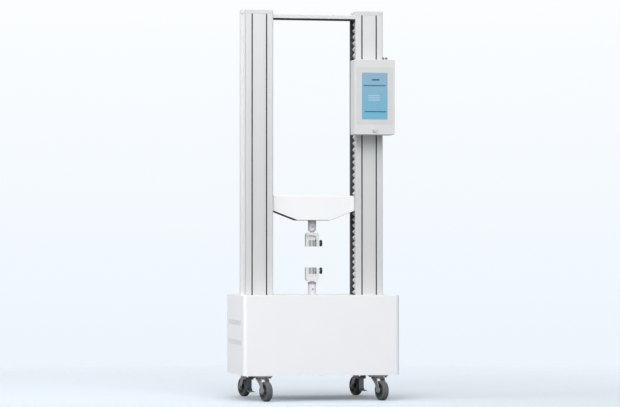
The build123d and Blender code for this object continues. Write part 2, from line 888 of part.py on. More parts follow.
def panel_connectors():
    """Two round sockets with caps on top of the case."""
    foot = panel_bottom + panel_height
    group = []
    for step in (0, 1):
        x = panel_middle + panel_width / 2 - connector_inset - step * connector_pitch
        y = panel_back - connector_setback
        socket = post(x, y, foot, foot + connector_height, connector_diameter)
        socket = fillet(socket.edges().filter_by(GeomType.CIRCLE).sort_by(Axis.Z)[-1], edge_break)
        groove_z = foot + connector_height / 2
        ring = Cylinder(connector_diameter, connector_groove) - Cylinder(connector_neck / 2, connector_groove)
        group.append(socket - Pos(x, y, groove_z) * ring)
    return Compound(group)


# Casters, modelled for the place (0, 0) with the wheel trailing along +Y

plate_bottom = caster_height - caster_plate_thickness
crown_bottom = wheel_diameter + fork_crown_clearance
crown_top = plate_bottom - touch_gap
fork_inner = wheel_width / 2 + fork_side_gap
fork_outer = fork_inner + fork_thickness
pedal_pivot_z = crown_bottom - pedal_pivot_drop


def caster_plate():
    """Top plate with four bolt holes."""
    size = caster_plate_size
    plate = rounded_slab(size, size, plate_bottom, caster_height, caster_plate_corner)
    half = caster_bolt_spacing / 2
    for sx in (-1, 1):
        for sy in (-1, 1):
            plate -= post(sx * half, sy * half, plate_bottom, caster_height, caster_bolt_hole)
    return plate


def hull_of(*shapes):
    """Flat hull round some flat shapes."""
    with BuildSketch() as area:
        for shape in shapes:
            add(shape)
        make_hull()
    return area.sketch


def fork_leg(braked):
    """Outline of a fork leg from the side, hollowed in front, with a lug for the pedal's pin."""
    race = swivel_race_diameter / 2
    crown = Pos(0, crown_bottom + crown_thickness / 2) * Rectangle(2 * race, crown_thickness)
    eye = Pos(caster_trail, axle_level) * Circle(fork_eye_radius)
    reach = caster_trail - fork_eye_radius + race
    fall = crown_bottom - axle_level
    chord = hypot(reach, fall)
    radius = (chord**2 / 4 + fork_hollow**2) / (2 * fork_hollow)
    away = (radius - fork_hollow) / chord
    centre_y = reach / 2 - race - away * fall
    centre_z = crown_bottom - fall / 2 - away * reach
    leg = hull_of(crown, eye) - Pos(centre_y, centre_z) * Circle(radius) + eye
    if braked:
        leg += hull_of(crown, Pos(pedal_pivot_y, pedal_pivot_z) * Circle(pedal_pin_diameter))
    return Plane.YZ * leg


def caster_fork(braked):
    """Pressed fork: a crown under the swivel race and two tapering legs, with its bolts."""
    race = swivel_race_diameter / 2
    side_plate = extrude(fork_leg(braked), fork_thickness / 2, both=True)
    fork = post(0, 0, crown_bottom, crown_top, swivel_race_diameter)
    fork += block(-fork_outer, fork_outer, -race, race, crown_bottom, crown_bottom + crown_thickness)
    for side in (-1, 1):
        fork += Pos(side * (fork_inner + fork_thickness / 2), 0, 0) * side_plate
    bolt_end = fork_outer + axle_head_height
    axle = cross_rod(-bolt_end, bolt_end, caster_trail, axle_level, axle_diameter)
    fork -= axle
    head = Rot(0, 90, 0) * extrude(RegularPolygon(axle_head_width / 2, 6), axle_head_height / 2, both=True)
    for side in (-1, 1):
        axle += Pos(side * (fork_outer + axle_head_height / 2), caster_trail, axle_level) * head
    if not braked:
        return Compound([fork, axle])
    pin = cross_rod(-fork_outer, fork_outer, pedal_pivot_y, pedal_pivot_z, pedal_pin_diameter)
    return Compound([fork - pin, axle, pin])


def caster_wheel():
    """Hub with a dished web, and the tyre on it."""
    rim = wheel_diameter / 2 - tyre_thickness
    half = wheel_width / 2
    bore = axle_diameter / 2 + running_gap
    face = half + hub_boss_proud
    web = half / 3
    edge = half - hub_boss_proud
    hub_points = [
        (bore, -face),
        (bore + hub_boss, -face),
        (bore + hub_boss + hub_draft, -web),
        (rim - hub_rim - hub_draft, -web),
        (rim - hub_rim, -edge),
        (rim, -edge),
    ]
    mirrored = [(r, -h) for r, h in reversed(hub_points)]
    hub = revolve(make_face(Plane.XZ * Polyline(*hub_points, *mirrored, close=True)), Axis.Z)
    tyre = Cylinder(wheel_diameter / 2, wheel_width)
    tyre = fillet(tyre.edges().filter_by(GeomType.CIRCLE), wheel_width / 4)
    tyre -= Cylinder(rim, 2 * wheel_width)
    place = Pos(0, caster_trail, axle_level) * Rot(0, 90, 0)
    return Compound([place * hub, place * tyre])


def brake_pedal():
    """Foot lever hooked on a pin between the legs, in front of the wheel."""
    foot_z = pedal_pivot_z - pedal_drop
    with BuildSketch(Plane.YZ) as side:
        with BuildLine() as path:
            FilletPolyline(
                (pedal_pivot_y, pedal_pivot_z),
                (pedal_pivot_y, foot_z),
                (pedal_pivot_y - pedal_reach, foot_z),
                radius=pedal_bend,
            )
        trace(lines=path.edges(), line_width=pedal_thickness)
        with Locations((pedal_pivot_y, pedal_pivot_z)):
            Circle(pedal_pin_diameter)
    pedal = extrude(side.sketch, pedal_width / 2, both=True)
    bore = pedal_pin_diameter + 2 * running_gap
    return pedal - cross_rod(-pedal_width, pedal_width, pedal_pivot_y, pedal_pivot_z, bore)


def caster_place(sx, sy):
    """Where a caster stands: front ones trail to the front, rear ones to the back."""
    turn = caster_swivel if sy > 0 else caster_swivel + 180
    return Pos(sx * swivel_x, sy * swivel_y, 0) * Rot(0, 0, turn)


corners = {"front_left": (-1, -1), "front_right": (1, -1), "rear_left": (-1, 1), "rear_right": (1, 1)}


def all_parts():
    """Every node of the machine by name."""
    column = right_column()
    screw = right_ball_screw()
    upper_bellows = right_bellows(carriage_top, upper_bearing_bottom)
    lower_bellows = right_bellows(table_top, carriage_bottom)
    grip = lower_grip_body()
    middle_z = (upper_jaw_middle + lower_jaw_middle) / 2
    upper_grip = mirror(grip, about=Plane.XY.offset(middle_z))
    parts = {
        "base_frame": base_frame(),
        "base_table": base_table(),
        "base_housing": base_housing(),
        "rear_cover": rear_cover(),
        "mains_inlet": mains_inlet(),
        "right_column": column,
        "left_column": other_side(column),
        "column_caps": column_caps(),
        "cable_duct": cable_duct(),
        "channel_liners": channel_liners(),
        "top_beam": top_beam(),
        "right_ball_screw": screw,
        "left_ball_screw": other_side(screw),
        "screw_bearings": screw_bearings(),
        "guide_rods": guide_rods(),
        "servo_motor": servo_motor(),
        "motor_pulley": motor_pulley(),
        "drive_belt": drive_belt(),
        "motor_controller": motor_controller(),
        "upper_bellows": both_sides(upper_bellows),
        "lower_bellows": both_sides(lower_bellows),
        "crosshead_beam": crosshead_beam(),
        "crosshead_front_cover": crosshead_cover(back=False),
        "crosshead_rear_cover": crosshead_cover(back=True),
        "crosshead_carriages": crosshead_carriages(),
        "carriage_bushings": carriage_bushings(),
        "load_cell": load_cell(),
        "upper_stem": upper_stem(),
        "lower_stem": lower_stem(),
        "lower_lock_ring": lock_ring(),
        "lower_grip_body": grip,
        "upper_grip_body": upper_grip,
        "panel_bracket": panel_bracket(),
        "panel_case": panel_case(),
        "panel_fascia": panel_fascia(),
        "panel_screen": panel_screen(),
        "button_collar": button_collar(),
        "panel_button": panel_button(),
        "panel_connectors": panel_connectors(),
    }
    for name, level in (("upper", upper_jaw_middle), ("lower", lower_jaw_middle)):
        parts[f"{name}_fixed_jaw"] = fixed_jaw(level)
        parts[f"{name}_moving_jaw"] = moving_jaw(level)
        parts[f"{name}_clamp_screw"] = clamp_screw(level)
        parts[f"{name}_clamp_knob"] = clamp_knob(level)
    plates = []
    for corner, (sx, sy) in corners.items():
        place = caster_place(sx, sy)
        plates.append(Pos(sx * swivel_x, sy * swivel_y, 0) * caster_plate())
        parts[f"{corner}_fork"] = place * caster_fork(braked=sy > 0)
        parts[f"{corner}_wheel"] = place * caster_wheel()
        if sy > 0:
            parts[f"{corner}_brake_pedal"] = place * brake_pedal()
    parts["caster_plates"] = Compound(plates)
    return parts


os.makedirs("parts", exist_ok=True)
for node, shape in all_parts().items():
    export_step(shape, f"parts/{node}.step")
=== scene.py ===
"""Dresses the universal testing machine: finishes, bellows, fasteners, control panel and a pale studio."""
import json
from math import cos, pi, radians, sin

import bmesh
import bpy
from bpy.props import FloatProperty, FloatVectorProperty, IntProperty, PointerProperty, StringProperty
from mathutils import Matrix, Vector


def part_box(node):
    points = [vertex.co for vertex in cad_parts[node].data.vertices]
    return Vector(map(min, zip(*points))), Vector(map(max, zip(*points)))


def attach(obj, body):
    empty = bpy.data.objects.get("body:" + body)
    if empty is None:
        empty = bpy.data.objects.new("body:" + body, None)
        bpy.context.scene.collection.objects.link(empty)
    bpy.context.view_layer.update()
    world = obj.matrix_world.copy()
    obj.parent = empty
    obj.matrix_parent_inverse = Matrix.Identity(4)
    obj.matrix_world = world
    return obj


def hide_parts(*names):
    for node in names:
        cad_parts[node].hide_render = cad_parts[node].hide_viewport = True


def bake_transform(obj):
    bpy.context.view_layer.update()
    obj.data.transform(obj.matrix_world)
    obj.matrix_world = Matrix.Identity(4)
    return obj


bl_info = {
    "name": "Universal Testing Machine Dresser",
    "version": (1, 0, 0),
    "blender": (4, 5, 0),
    "location": "View3D > Sidebar > Testing Machine",
    "description": "Dresses the packed testing machine with finishes, bellows, fasteners and a studio",
    "category": "Object",
}

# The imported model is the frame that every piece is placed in.
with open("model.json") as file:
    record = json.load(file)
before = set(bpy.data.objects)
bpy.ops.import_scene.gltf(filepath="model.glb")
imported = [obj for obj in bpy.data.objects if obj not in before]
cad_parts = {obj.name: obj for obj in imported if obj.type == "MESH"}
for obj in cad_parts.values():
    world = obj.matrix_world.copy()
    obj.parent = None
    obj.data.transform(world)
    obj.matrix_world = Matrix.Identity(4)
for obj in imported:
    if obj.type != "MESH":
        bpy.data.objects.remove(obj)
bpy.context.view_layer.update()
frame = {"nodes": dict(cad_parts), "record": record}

BODY_OF = {node: body for body, nodes in frame["record"]["behaviour"]["bodies"].items() for node in nodes}
SLOT_OF = {row["node"]: row["material_slot"] for row in frame["record"]["subparts"]}
JOINTS = {row["name"]: row for row in frame["record"]["behaviour"]["joints"]}
CORNERS = ("front_left", "front_right", "rear_left", "rear_right")

# Merging, flattening and easing of the copied CAD meshes
MERGE_DISTANCE = 1e-5
FLAT_ANGLE = radians(0.6)
SHARP_ANGLE = radians(28.0)

# Faces that look down more steeply than this share get a black lining that paints the shade under them.
UNDERSIDE_SHADE_SLOPE = 0.7

# Patterns of the finishes are sized in millimetres.
MM = 0.001

# Rings of faces in one fold of the bellows
RINGS_PER_FOLD = 6.0

# Shares of a screw head: how far its rim is eased, and how deep its socket is
RIM_EASE = 0.2
SOCKET_DEPTH = 0.6


# Kinds of settings
def colour_setting(name, default, description):
    """A colour, as an sRGB hex code."""
    return StringProperty(name=name, description=description, default=default)


def length_setting(name, default, description):
    """A size in metres."""
    return FloatProperty(name=name, description=description, default=default, unit="LENGTH")


def place_setting(name, default, description):
    """A place in the room, in metres."""
    return FloatVectorProperty(name=name, description=description, default=default, unit="LENGTH")


def angle_setting(name, degrees, description):
    """An angle, given in degrees."""
    return FloatProperty(name=name, description=description, default=radians(degrees), subtype="ANGLE")


def level_setting(name, default, description):
    """A plain number, such as a power or a share."""
    return FloatProperty(name=name, description=description, default=default)


# Settings
class FinishSettings(bpy.types.PropertyGroup):
    """Colours of the finishes, as sRGB hex codes."""

    enamel: colour_setting("White enamel", "F1F1F2", "Powder coat of the base and crosshead")
    panel: colour_setting("Panel grey", "D9D9D9", "Powder coat of the control panel")
    aluminium: colour_setting("Aluminium", "D3D4D4", "Satin extrusions of the columns")
    duct: colour_setting("Duct", "DDDEDF", "Satin extrusion beside the left column")
    cap: colour_setting("Caps", "D2D3D3", "Moulded caps on the columns")
    overlay: colour_setting("Overlay", "D1D1D2", "Film round the display")
    knob: colour_setting("Black plastic", "101011", "Moulded knobs and inlet")
    hub: colour_setting("Hubs", "4A4C4D", "Nylon hubs of the wheels")
    # Partly the liners' own dark plastic, partly painted shade deep in the column channels.
    liner: colour_setting("Liners", "4A4B4D", "Strips inside the column channels")
    socket: colour_setting("Sockets", "6A6C6E", "Moulded sockets on the panel")
    steel: colour_setting("Ground steel", "D9DADB", "Bright turned and ground steel")
    nickel: colour_setting("Nickel", "E6E7E7", "Plated steel of the stems and grips")
    button: colour_setting("Button", "E2E3E4", "Turned steel of the panel's button")
    jaw: colour_setting("Jaw steel", "B9BBBD", "Hardened steel of the jaws")
    dark_steel: colour_setting("Dark steel", "2E2F31", "Oiled steel inside the base")
    cast_iron: colour_setting("Cast iron", "3A3B3D", "Housings of the drive")
    controller: colour_setting("Controller", "232426", "Cast case of the controller")
    caster: colour_setting("Caster steel", "A0A2A4", "Zinc of the forks and plates")
    belt: colour_setting("Black rubber", "161617", "Belt, seals and linings")
    rubber: colour_setting("Wheel rubber", "5A5E5E", "Tyres of the casters")
    bellows: colour_setting("Bellows fabric", "D4D5D6", "Coated cloth over the screws")
    felt: colour_setting("Felt", "F3F3F3", "Wipers at the ends of the crosshead")


class EdgeSettings(bpy.types.PropertyGroup):
    """Radii that ease the edges of the copied CAD pieces."""

    sheet: length_setting("Sheet edge", 0.0012, "Fold of the sheet pieces")
    casting: length_setting("Moulded edge", 0.0015, "Edge of moulded pieces")
    machined: length_setting("Machined edge", 0.0005, "Edge of turned pieces")


class BellowsSettings(bpy.types.PropertyGroup):
    """Shape of the folded covers over the ball screws."""

    pitch: length_setting("Fold pitch", 0.030, "Height of one fold at rest")
    ridge: length_setting("Ridge radius", 0.0428, "Radius at a ridge")
    valley: length_setting("Valley radius", 0.0310, "Radius at a valley")
    sides: IntProperty(name="Sides", description="Facets round the cover", default=40, min=8)


class DisplaySettings(bpy.types.PropertyGroup):
    """Colours and thickness of the plain marks on the display."""

    top: colour_setting("Top colour", "88AFC4", "Upper end of the blue screen")
    bottom: colour_setting("Bottom colour", "6DB0CC", "Lower end of the blue screen")
    ink: colour_setting("Bar colour", "24506F", "Dark bars on the screen")
    pale: colour_setting("Row colour", "A2C6DA", "Pale rows on the screen")
    lift: length_setting("Mark lift", 0.00015, "Thickness of a mark")


class StudioSettings(bpy.types.PropertyGroup):
    """Camera and light of the studio."""

    camera_place: place_setting("Camera place", (-2.471, -12.702, 0.7037), "Where the camera stands")
    camera_turn: angle_setting("Camera turn", -10.966, "Turn of the camera about Z")
    camera_tilt: angle_setting("Camera tilt", 1.0232, "Upward tilt of the camera")
    lens: level_setting("Lens", 156.4, "Focal length in millimetres")
    key_place: place_setting("Key place", (-1.4, -3.0, 4.4), "Where the upper light hangs")
    key_power: level_setting("Key power", 105.0, "Power of the upper light")
    key_size: length_setting("Key size", 2.6, "Width of the upper light")
    front_place: place_setting("Front place", (1.2, -7.5, 5.5), "Where the front light hangs")
    front_power: level_setting("Front power", 235.0, "Power of the front light")
    front_size: length_setting("Front size", 4.0, "Width of the front light")
    side_place: place_setting("Side place", (-4.4, -0.7, 2.4), "Where the left light hangs")
    side_power: level_setting("Side power", 33.0, "Power of the left light")
    side_size: length_setting("Side size", 2.6, "Width of the left light")
    side_spread: angle_setting("Side spread", 100.0, "Beam angle of the left light")
    fill: level_setting("Room light", 0.62, "Strength of the even room light")
    fill_colour: colour_setting("Room light colour", "FDFDFE", "Colour of the even room light")
    room: colour_setting("Room colour", "FBFDFF", "Colour seen behind the top")
    horizon: colour_setting("Horizon colour", "EEF6FD", "Colour seen behind the base")
    floor: colour_setting("Floor colour", "E9F3FB", "Colour of the pale floor")
    bounce: level_setting("Floor bounce", 0.4, "Share of light the floor throws back")
    glow: level_setting("Floor glow", 0.18, "Share of the floor's colour that no shadow reaches")


class MachineSettings(bpy.types.PropertyGroup):
    """All settings of the testing machine."""

    finish: PointerProperty(type=FinishSettings, name="Finish", description="Colours of the finishes")
    edge: PointerProperty(type=EdgeSettings, name="Edges", description="Radii of the edges")
    bellows: PointerProperty(type=BellowsSettings, name="Bellows", description="Shape of the bellows")
    display: PointerProperty(type=DisplaySettings, name="Display", description="Marks on the display")
    studio: PointerProperty(type=StudioSettings, name="Studio", description="Camera and light")


def settings(context):
    """The property groups of this add-on."""
    return context.scene.testing_machine


# Colour and node helpers
def linear(code):
    """Linear RGBA of an sRGB hex code."""
    values = [int(code[at:at + 2], 16) / 255 for at in (0, 2, 4)]
    return [v / 12.92 if v <= 0.04045 else ((v + 0.055) / 1.055) ** 2.4 for v in values] + [1.0]


def shade(code, factor):
    """The linear colour of a code, made lighter or darker by a factor."""
    red, green, blue, alpha = linear(code)
    return [red * factor, green * factor, blue * factor, alpha]


def add_node(tree, kind, inputs=None, **options):
    """A new node with its options set and its inputs linked or filled."""
    node = tree.nodes.new(kind)
    for name, value in options.items():
        setattr(node, name, value)
    for key, value in (inputs or {}).items():
        if isinstance(value, bpy.types.NodeSocket):
            tree.links.new(value, node.inputs[key])
        else:
            node.inputs[key].default_value = value
    return node


def start_finish(name, colour, rough, metal=0.0):
    """A material with a plain shader, its node tree and the object coordinates."""
    material = bpy.data.materials.new(name)
    material.use_nodes = True
    tree = material.node_tree
    shader = tree.nodes["Principled BSDF"]
    shader.inputs["Base Color"].default_value = colour
    shader.inputs["Roughness"].default_value = rough
    shader.inputs["Metallic"].default_value = metal
    coords = add_node(tree, "ShaderNodeTexCoord").outputs["Object"]
    return material, tree, shader, coords


def noise(tree, coords, cell, stretch=(1.0, 1.0, 1.0), detail=2.0):
    """Noise whose cells are cell metres wide, drawn out by stretch."""
    scale = [1.0 / (cell * part) for part in stretch]
    place = add_node(tree, "ShaderNodeMapping", {"Vector": coords, "Scale": scale})
    return add_node(
        tree, "ShaderNodeTexNoise", {"Vector": place.outputs["Vector"], "Scale": 1.0, "Detail": detail}
    ).outputs["Fac"]


def tint(tree, shader, factor, dark, light):
    """Base colour that wanders between two near colours."""
    mix = add_node(tree, "ShaderNodeMix", {0: factor, 6: dark, 7: light}, data_type="RGBA")
    tree.links.new(mix.outputs[2], shader.inputs["Base Color"])


def vary_roughness(tree, shader, factor, low, high):
    """Roughness that wanders between two values."""
    spread = add_node(tree, "ShaderNodeMapRange", {"Value": factor, "To Min": low, "To Max": high})
    tree.links.new(spread.outputs["Result"], shader.inputs["Roughness"])


def emboss(tree, shader, height, depth, strength):
    """A fine relief of depth metres."""
    relief = add_node(tree, "ShaderNodeBump", {"Height": height, "Distance": depth, "Strength": strength})
    tree.links.new(relief.outputs["Normal"], shader.inputs["Normal"])


# Finishes, each named for the real material
def powder_coat(name, code):
    """Baked powder coat: an even colour, a soft sheen and a faint orange peel in the highlights."""
    material, tree, shader, coords = start_finish(name, linear(code), rough=0.52)
    shader.inputs["Specular IOR Level"].default_value = 0.3
    drift = noise(tree, coords, cell=180 * MM)
    tint(tree, shader, drift, dark=shade(code, 0.985), light=shade(code, 1.015))
    vary_roughness(tree, shader, noise(tree, coords, cell=40 * MM), low=0.48, high=0.58)
    emboss(tree, shader, noise(tree, coords, cell=2.5 * MM), depth=0.04 * MM, strength=0.35)
    return material


def anodised(name, code):
    """Satin anodised extrusion: a dull metal sheen with faint drawing lines along its length."""
    material, tree, shader, coords = start_finish(name, linear(code), rough=0.45, metal=0.3)
    # Real drawing lines are finer; they are drawn 2 mm wide so that they show.
    lines = noise(tree, coords, cell=2 * MM, stretch=(1.0, 1.0, 150.0))
    tint(tree, shader, lines, dark=shade(code, 0.955), light=shade(code, 1.035))
    vary_roughness(tree, shader, lines, low=0.40, high=0.52)
    emboss(tree, shader, lines, depth=0.03 * MM, strength=0.3)
    return material


def moulded(name, code, rough=0.5, cell=1.2 * MM):
    """Moulded plastic: a spark-eroded grain, drawn coarser than it is, that breaks up the highlights."""
    material, tree, shader, coords = start_finish(name, linear(code), rough)
    grain = noise(tree, coords, cell)
    tint(tree, shader, noise(tree, coords, cell=50 * MM), dark=shade(code, 0.95), light=shade(code, 1.05))
    vary_roughness(tree, shader, grain, low=rough - 0.06, high=rough + 0.06)
    emboss(tree, shader, grain, depth=0.06 * MM, strength=0.4)
    return material


def ground_metal(name, code, rough, metal, stretch):
    """Turned or ground steel: bright metal with tool marks in one direction, drawn coarser than they are."""
    material, tree, shader, coords = start_finish(name, linear(code), rough, metal)
    marks = noise(tree, coords, cell=0.9 * MM, stretch=stretch)
    tint(tree, shader, marks, dark=shade(code, 0.86), light=shade(code, 1.0))
    vary_roughness(tree, shader, marks, low=rough - 0.07, high=rough + 0.08)
    emboss(tree, shader, marks, depth=0.03 * MM, strength=0.35)
    return material


def cast_metal(name, code, rough, metal):
    """Cast or zinc-plated metal: a cloudy surface with a coarse soft grain."""
    material, tree, shader, coords = start_finish(name, linear(code), rough, metal)
    clouds = noise(tree, coords, cell=12 * MM, detail=5.0)
    tint(tree, shader, clouds, dark=shade(code, 0.82), light=shade(code, 1.16))
    vary_roughness(tree, shader, clouds, low=rough - 0.08, high=rough + 0.1)
    emboss(tree, shader, noise(tree, coords, cell=2 * MM), depth=0.1 * MM, strength=0.4)
    return material


def checked_steel(name, code):
    """Hardened jaw steel: grey metal with crossed grinding marks, drawn coarser than they are."""
    material, tree, shader, coords = start_finish(name, linear(code), rough=0.4, metal=0.5)
    across = noise(tree, coords, cell=0.8 * MM, stretch=(1.0, 30.0, 1.0))
    upright = noise(tree, coords, cell=0.8 * MM, stretch=(1.0, 1.0, 30.0))
    both = add_node(tree, "ShaderNodeMath", {0: across, 1: upright}, operation="MULTIPLY").outputs[0]
    tint(tree, shader, both, dark=shade(code, 0.7), light=shade(code, 1.3))
    emboss(tree, shader, both, depth=0.04 * MM, strength=0.5)
    return material


def coated_cloth(name, code):
    """Coated cloth or felt: a dull surface with a coarsely drawn weave and a slight sheen on the ridges."""
    material, tree, shader, coords = start_finish(name, linear(code), rough=0.62)
    weave = noise(tree, coords, cell=1.6 * MM, stretch=(1.0, 1.0, 0.4))
    tint(tree, shader, noise(tree, coords, cell=30 * MM), dark=shade(code, 0.93), light=shade(code, 1.04))
    vary_roughness(tree, shader, weave, low=0.55, high=0.7)
    emboss(tree, shader, weave, depth=0.1 * MM, strength=0.4)
    return material


def soft_rubber(name, code):
    """Tyre, belt and seal rubber: matt, with a dusty mottling."""
    material, tree, shader, coords = start_finish(name, linear(code), rough=0.72)
    dust = noise(tree, coords, cell=8 * MM, detail=4.0)
    tint(tree, shader, dust, dark=shade(code, 0.8), light=shade(code, 1.2))
    emboss(tree, shader, noise(tree, coords, cell=1.5 * MM), depth=0.12 * MM, strength=0.5)
    return material


def lit_display(name, top, bottom, low, high):
    """Lit screen behind a clear film: a blue that turns paler upward, under a thin gloss."""
    material, tree, shader, coords = start_finish(name, linear(bottom), rough=0.3)
    height = add_node(tree, "ShaderNodeSeparateXYZ", {"Vector": coords}).outputs["Z"]
    fade = add_node(tree, "ShaderNodeMapRange", {"Value": height, "From Min": low, "From Max": high})
    tint(tree, shader, fade.outputs["Result"], dark=linear(bottom), light=linear(top))
    vary_roughness(tree, shader, noise(tree, coords, cell=20 * MM), low=0.26, high=0.34)
    return material


# The material of each slot, and of the forms that only this script adds
FINISH_OF = {
    "white_enamel": "powder_coat_white",
    "satin_aluminium": "anodised_aluminium_satin",
    "cap_plastic": "abs_cap_pale_grey",
    "panel_grey": "powder_coat_light_grey",
    "overlay": "polyester_overlay_satin",
    "display": "lit_display_blue",
    "ink": "display_bar_dark",
    "pale": "display_row_pale",
    "dark_steel": "oiled_steel_dark",
    "cast_housing": "cast_iron_grey",
    "ground_steel": "ground_steel_bright",
    "grip_steel": "machined_steel_nickel",
    "jaw_steel": "hardened_jaw_steel",
    "black_plastic": "moulded_plastic_black",
    "button_metal": "turned_steel_button",
    "belt_rubber": "belt_rubber_black",
    "bellows_fabric": "coated_cloth_grey",
    "controller_case": "cast_aluminium_black",
    "caster_steel": "zinc_plated_steel_dark",
    "wheel_rubber": "tyre_rubber_grey",
    "hub": "nylon_hub_dark",
    "liner": "abs_liner_dark_and_shade",
    "socket": "abs_socket_mid_grey",
    "felt": "wool_felt_white",
    "duct": "anodised_duct_satin",
}

# Nodes that are painted or made unlike the rest of their slot
OWN_FINISH = {
    "crosshead_beam": "panel_grey",
    "crosshead_carriages": "panel_grey",
    "panel_bracket": "panel_grey",
    "cable_duct": "duct",
    # The liners are dark partly to paint the shade inside the channels.
    "channel_liners": "liner",
    "panel_connectors": "socket",
}


def make_finishes(chosen):
    """Every material of the machine, from the chosen colours."""
    colours = chosen.finish
    shown = chosen.display
    low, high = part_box("panel_screen")
    powder_coat("powder_coat_white", colours.enamel)
    powder_coat("powder_coat_light_grey", colours.panel)
    anodised("anodised_aluminium_satin", colours.aluminium)
    anodised("anodised_duct_satin", colours.duct)
    moulded("abs_cap_pale_grey", colours.cap, rough=0.6)
    moulded("polyester_overlay_satin", colours.overlay, rough=0.4, cell=0.8 * MM)
    moulded("moulded_plastic_black", colours.knob)
    moulded("nylon_hub_dark", colours.hub)
    moulded("abs_liner_dark_and_shade", colours.liner, rough=0.55)
    moulded("abs_socket_mid_grey", colours.socket)
    moulded("display_bar_dark", shown.ink, rough=0.4)
    moulded("display_row_pale", shown.pale, rough=0.4)
    lit_display("lit_display_blue", shown.top, shown.bottom, low.z, high.z)
    ground_metal("ground_steel_bright", colours.steel, rough=0.32, metal=0.55, stretch=(1.0, 1.0, 0.3))
    ground_metal("machined_steel_nickel", colours.nickel, rough=0.42, metal=0.25, stretch=(8.0, 1.0, 0.4))
    ground_metal("turned_steel_button", colours.button, rough=0.3, metal=0.4, stretch=(1.0, 6.0, 1.0))
    checked_steel("hardened_jaw_steel", colours.jaw)
    cast_metal("oiled_steel_dark", colours.dark_steel, rough=0.5, metal=0.6)
    cast_metal("cast_iron_grey", colours.cast_iron, rough=0.6, metal=0.4)
    cast_metal("cast_aluminium_black", colours.controller, rough=0.55, metal=0.3)
    cast_metal("zinc_plated_steel_dark", colours.caster, rough=0.45, metal=0.45)
    soft_rubber("belt_rubber_black", colours.belt)
    soft_rubber("tyre_rubber_grey", colours.rubber)
    coated_cloth("coated_cloth_grey", colours.bellows)
    coated_cloth("wool_felt_white", colours.felt)


def finishes(context):
    """The materials of all slots, made once."""
    if FINISH_OF["white_enamel"] not in bpy.data.materials:
        make_finishes(settings(context))
    return {slot: bpy.data.materials[name] for slot, name in FINISH_OF.items()}


def finish_of(context, node):
    """The material of a node: its own one, or that of its slot."""
    return finishes(context)[OWN_FINISH.get(node, SLOT_OF[node])]


# Piece helpers
def add_piece(name, mesh, body, slot, *nodes):
    """A mesh as a finished piece that rides on a body and stands for some CAD nodes."""
    piece = bpy.data.objects.new(name, mesh)
    bpy.context.scene.collection.objects.link(piece)
    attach(piece, body)
    if nodes:
        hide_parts(*nodes)
    return piece


def finish_mesh(name, shape, *materials):
    """A mesh from a bmesh whose large faces stay flat and whose eased edges are smooth."""
    mesh = bpy.data.meshes.new(name + "_raw")
    for material in materials:
        mesh.materials.append(material)
    shape.to_mesh(mesh)
    shape.free()
    if "custom_normal" in mesh.attributes:
        mesh.attributes.remove(mesh.attributes["custom_normal"])
    mesh.shade_smooth()
    mesh.set_sharp_from_angle(angle=SHARP_ANGLE)
    holder = bpy.data.objects.new(name + "_holder", mesh)
    bpy.context.scene.collection.objects.link(holder)
    weights = holder.modifiers.new("face_weights", "WEIGHTED_NORMAL")
    weights.keep_sharp = True
    graph = bpy.context.evaluated_depsgraph_get()
    made = bpy.data.meshes.new_from_object(holder.evaluated_get(graph), depsgraph=graph)
    made.name = name
    bpy.data.objects.remove(holder)
    bpy.data.meshes.remove(mesh)
    return made


def merged_copy(node):
    """The CAD mesh of a node as a bmesh with its vertices merged and flat faces joined."""
    shape = bmesh.new()
    shape.from_mesh(frame["nodes"][node].data)
    bmesh.ops.remove_doubles(shape, verts=shape.verts, dist=MERGE_DISTANCE)
    bmesh.ops.dissolve_limit(shape, angle_limit=FLAT_ANGLE, verts=shape.verts, edges=shape.edges)
    for face in shape.faces:
        face.material_index = 0
    return shape


def ease_edges(shape, radius):
    """Rounds the sharp edges of a bmesh."""
    sharp = [edge for edge in shape.edges if edge.is_manifold and edge.calc_face_angle() > SHARP_ANGLE]
    bmesh.ops.bevel(
        shape, geom=sharp, offset=radius, segments=2, profile=0.5, affect="EDGES", clamp_overlap=True
    )


def show_copy(node, shape, *materials):
    """Shows a worked copy of a CAD node in the node's place."""
    mesh = finish_mesh(node + "_dressed", shape, *materials)
    add_piece(node + "_dressed", mesh, BODY_OF[node], SLOT_OF[node], node)


def dressed_copy(context, node, radius):
    """A copy of a CAD node with eased edges and its finish."""
    shape = merged_copy(node)
    ease_edges(shape, radius)
    show_copy(node, shape, finish_of(context, node))


def shaded_underside_copy(context, node, radius):
    """A dressed copy of a CAD node whose downward faces get black rubber as painted shade."""
    shape = merged_copy(node)
    ease_edges(shape, radius)
    # Black belt rubber on the downward faces is painted shade.
    for face in shape.faces:
        face.material_index = 1 if face.normal.z < -UNDERSIDE_SHADE_SLOPE else 0
    show_copy(node, shape, finish_of(context, node), finishes(context)["belt_rubber"])


def dressed_copies(context, nodes, radius):
    """Copies of several CAD nodes with one edge radius."""
    for node in nodes:
        dressed_copy(context, node, radius)


def coat_nodes(context, nodes):
    """CAD nodes that stay as they are, with only their finish."""
    for node in nodes:
        mesh = frame["nodes"][node].data
        mesh.materials.clear()
        mesh.materials.append(finish_of(context, node))


def add_block(shape, low, high, index=0):
    """A box between two corners, added to a bmesh."""
    middle = (Vector(low) + Vector(high)) / 2
    size = Vector(high) - Vector(low)
    made = bmesh.ops.create_cube(shape, size=1.0)["verts"]
    for vertex in made:
        vertex.co = Vector(part * scale for part, scale in zip(vertex.co, size)) + middle
    for face in {face for vertex in made for face in vertex.link_faces}:
        face.material_index = index


def rounded_loop(middle, half_width, half_height, radius, steps=6):
    """Points of a rounded rectangle that faces the front, in X and Z."""
    points = []
    for quarter, (side, rise) in enumerate(((1, 1), (-1, 1), (-1, -1), (1, -1))):
        centre_x = middle[0] + side * (half_width - radius)
        centre_z = middle[1] + rise * (half_height - radius)
        for step in range(steps + 1):
            angle = (quarter + step / steps) * pi / 2
            points.append((centre_x + radius * cos(angle), centre_z + radius * sin(angle)))
    return points


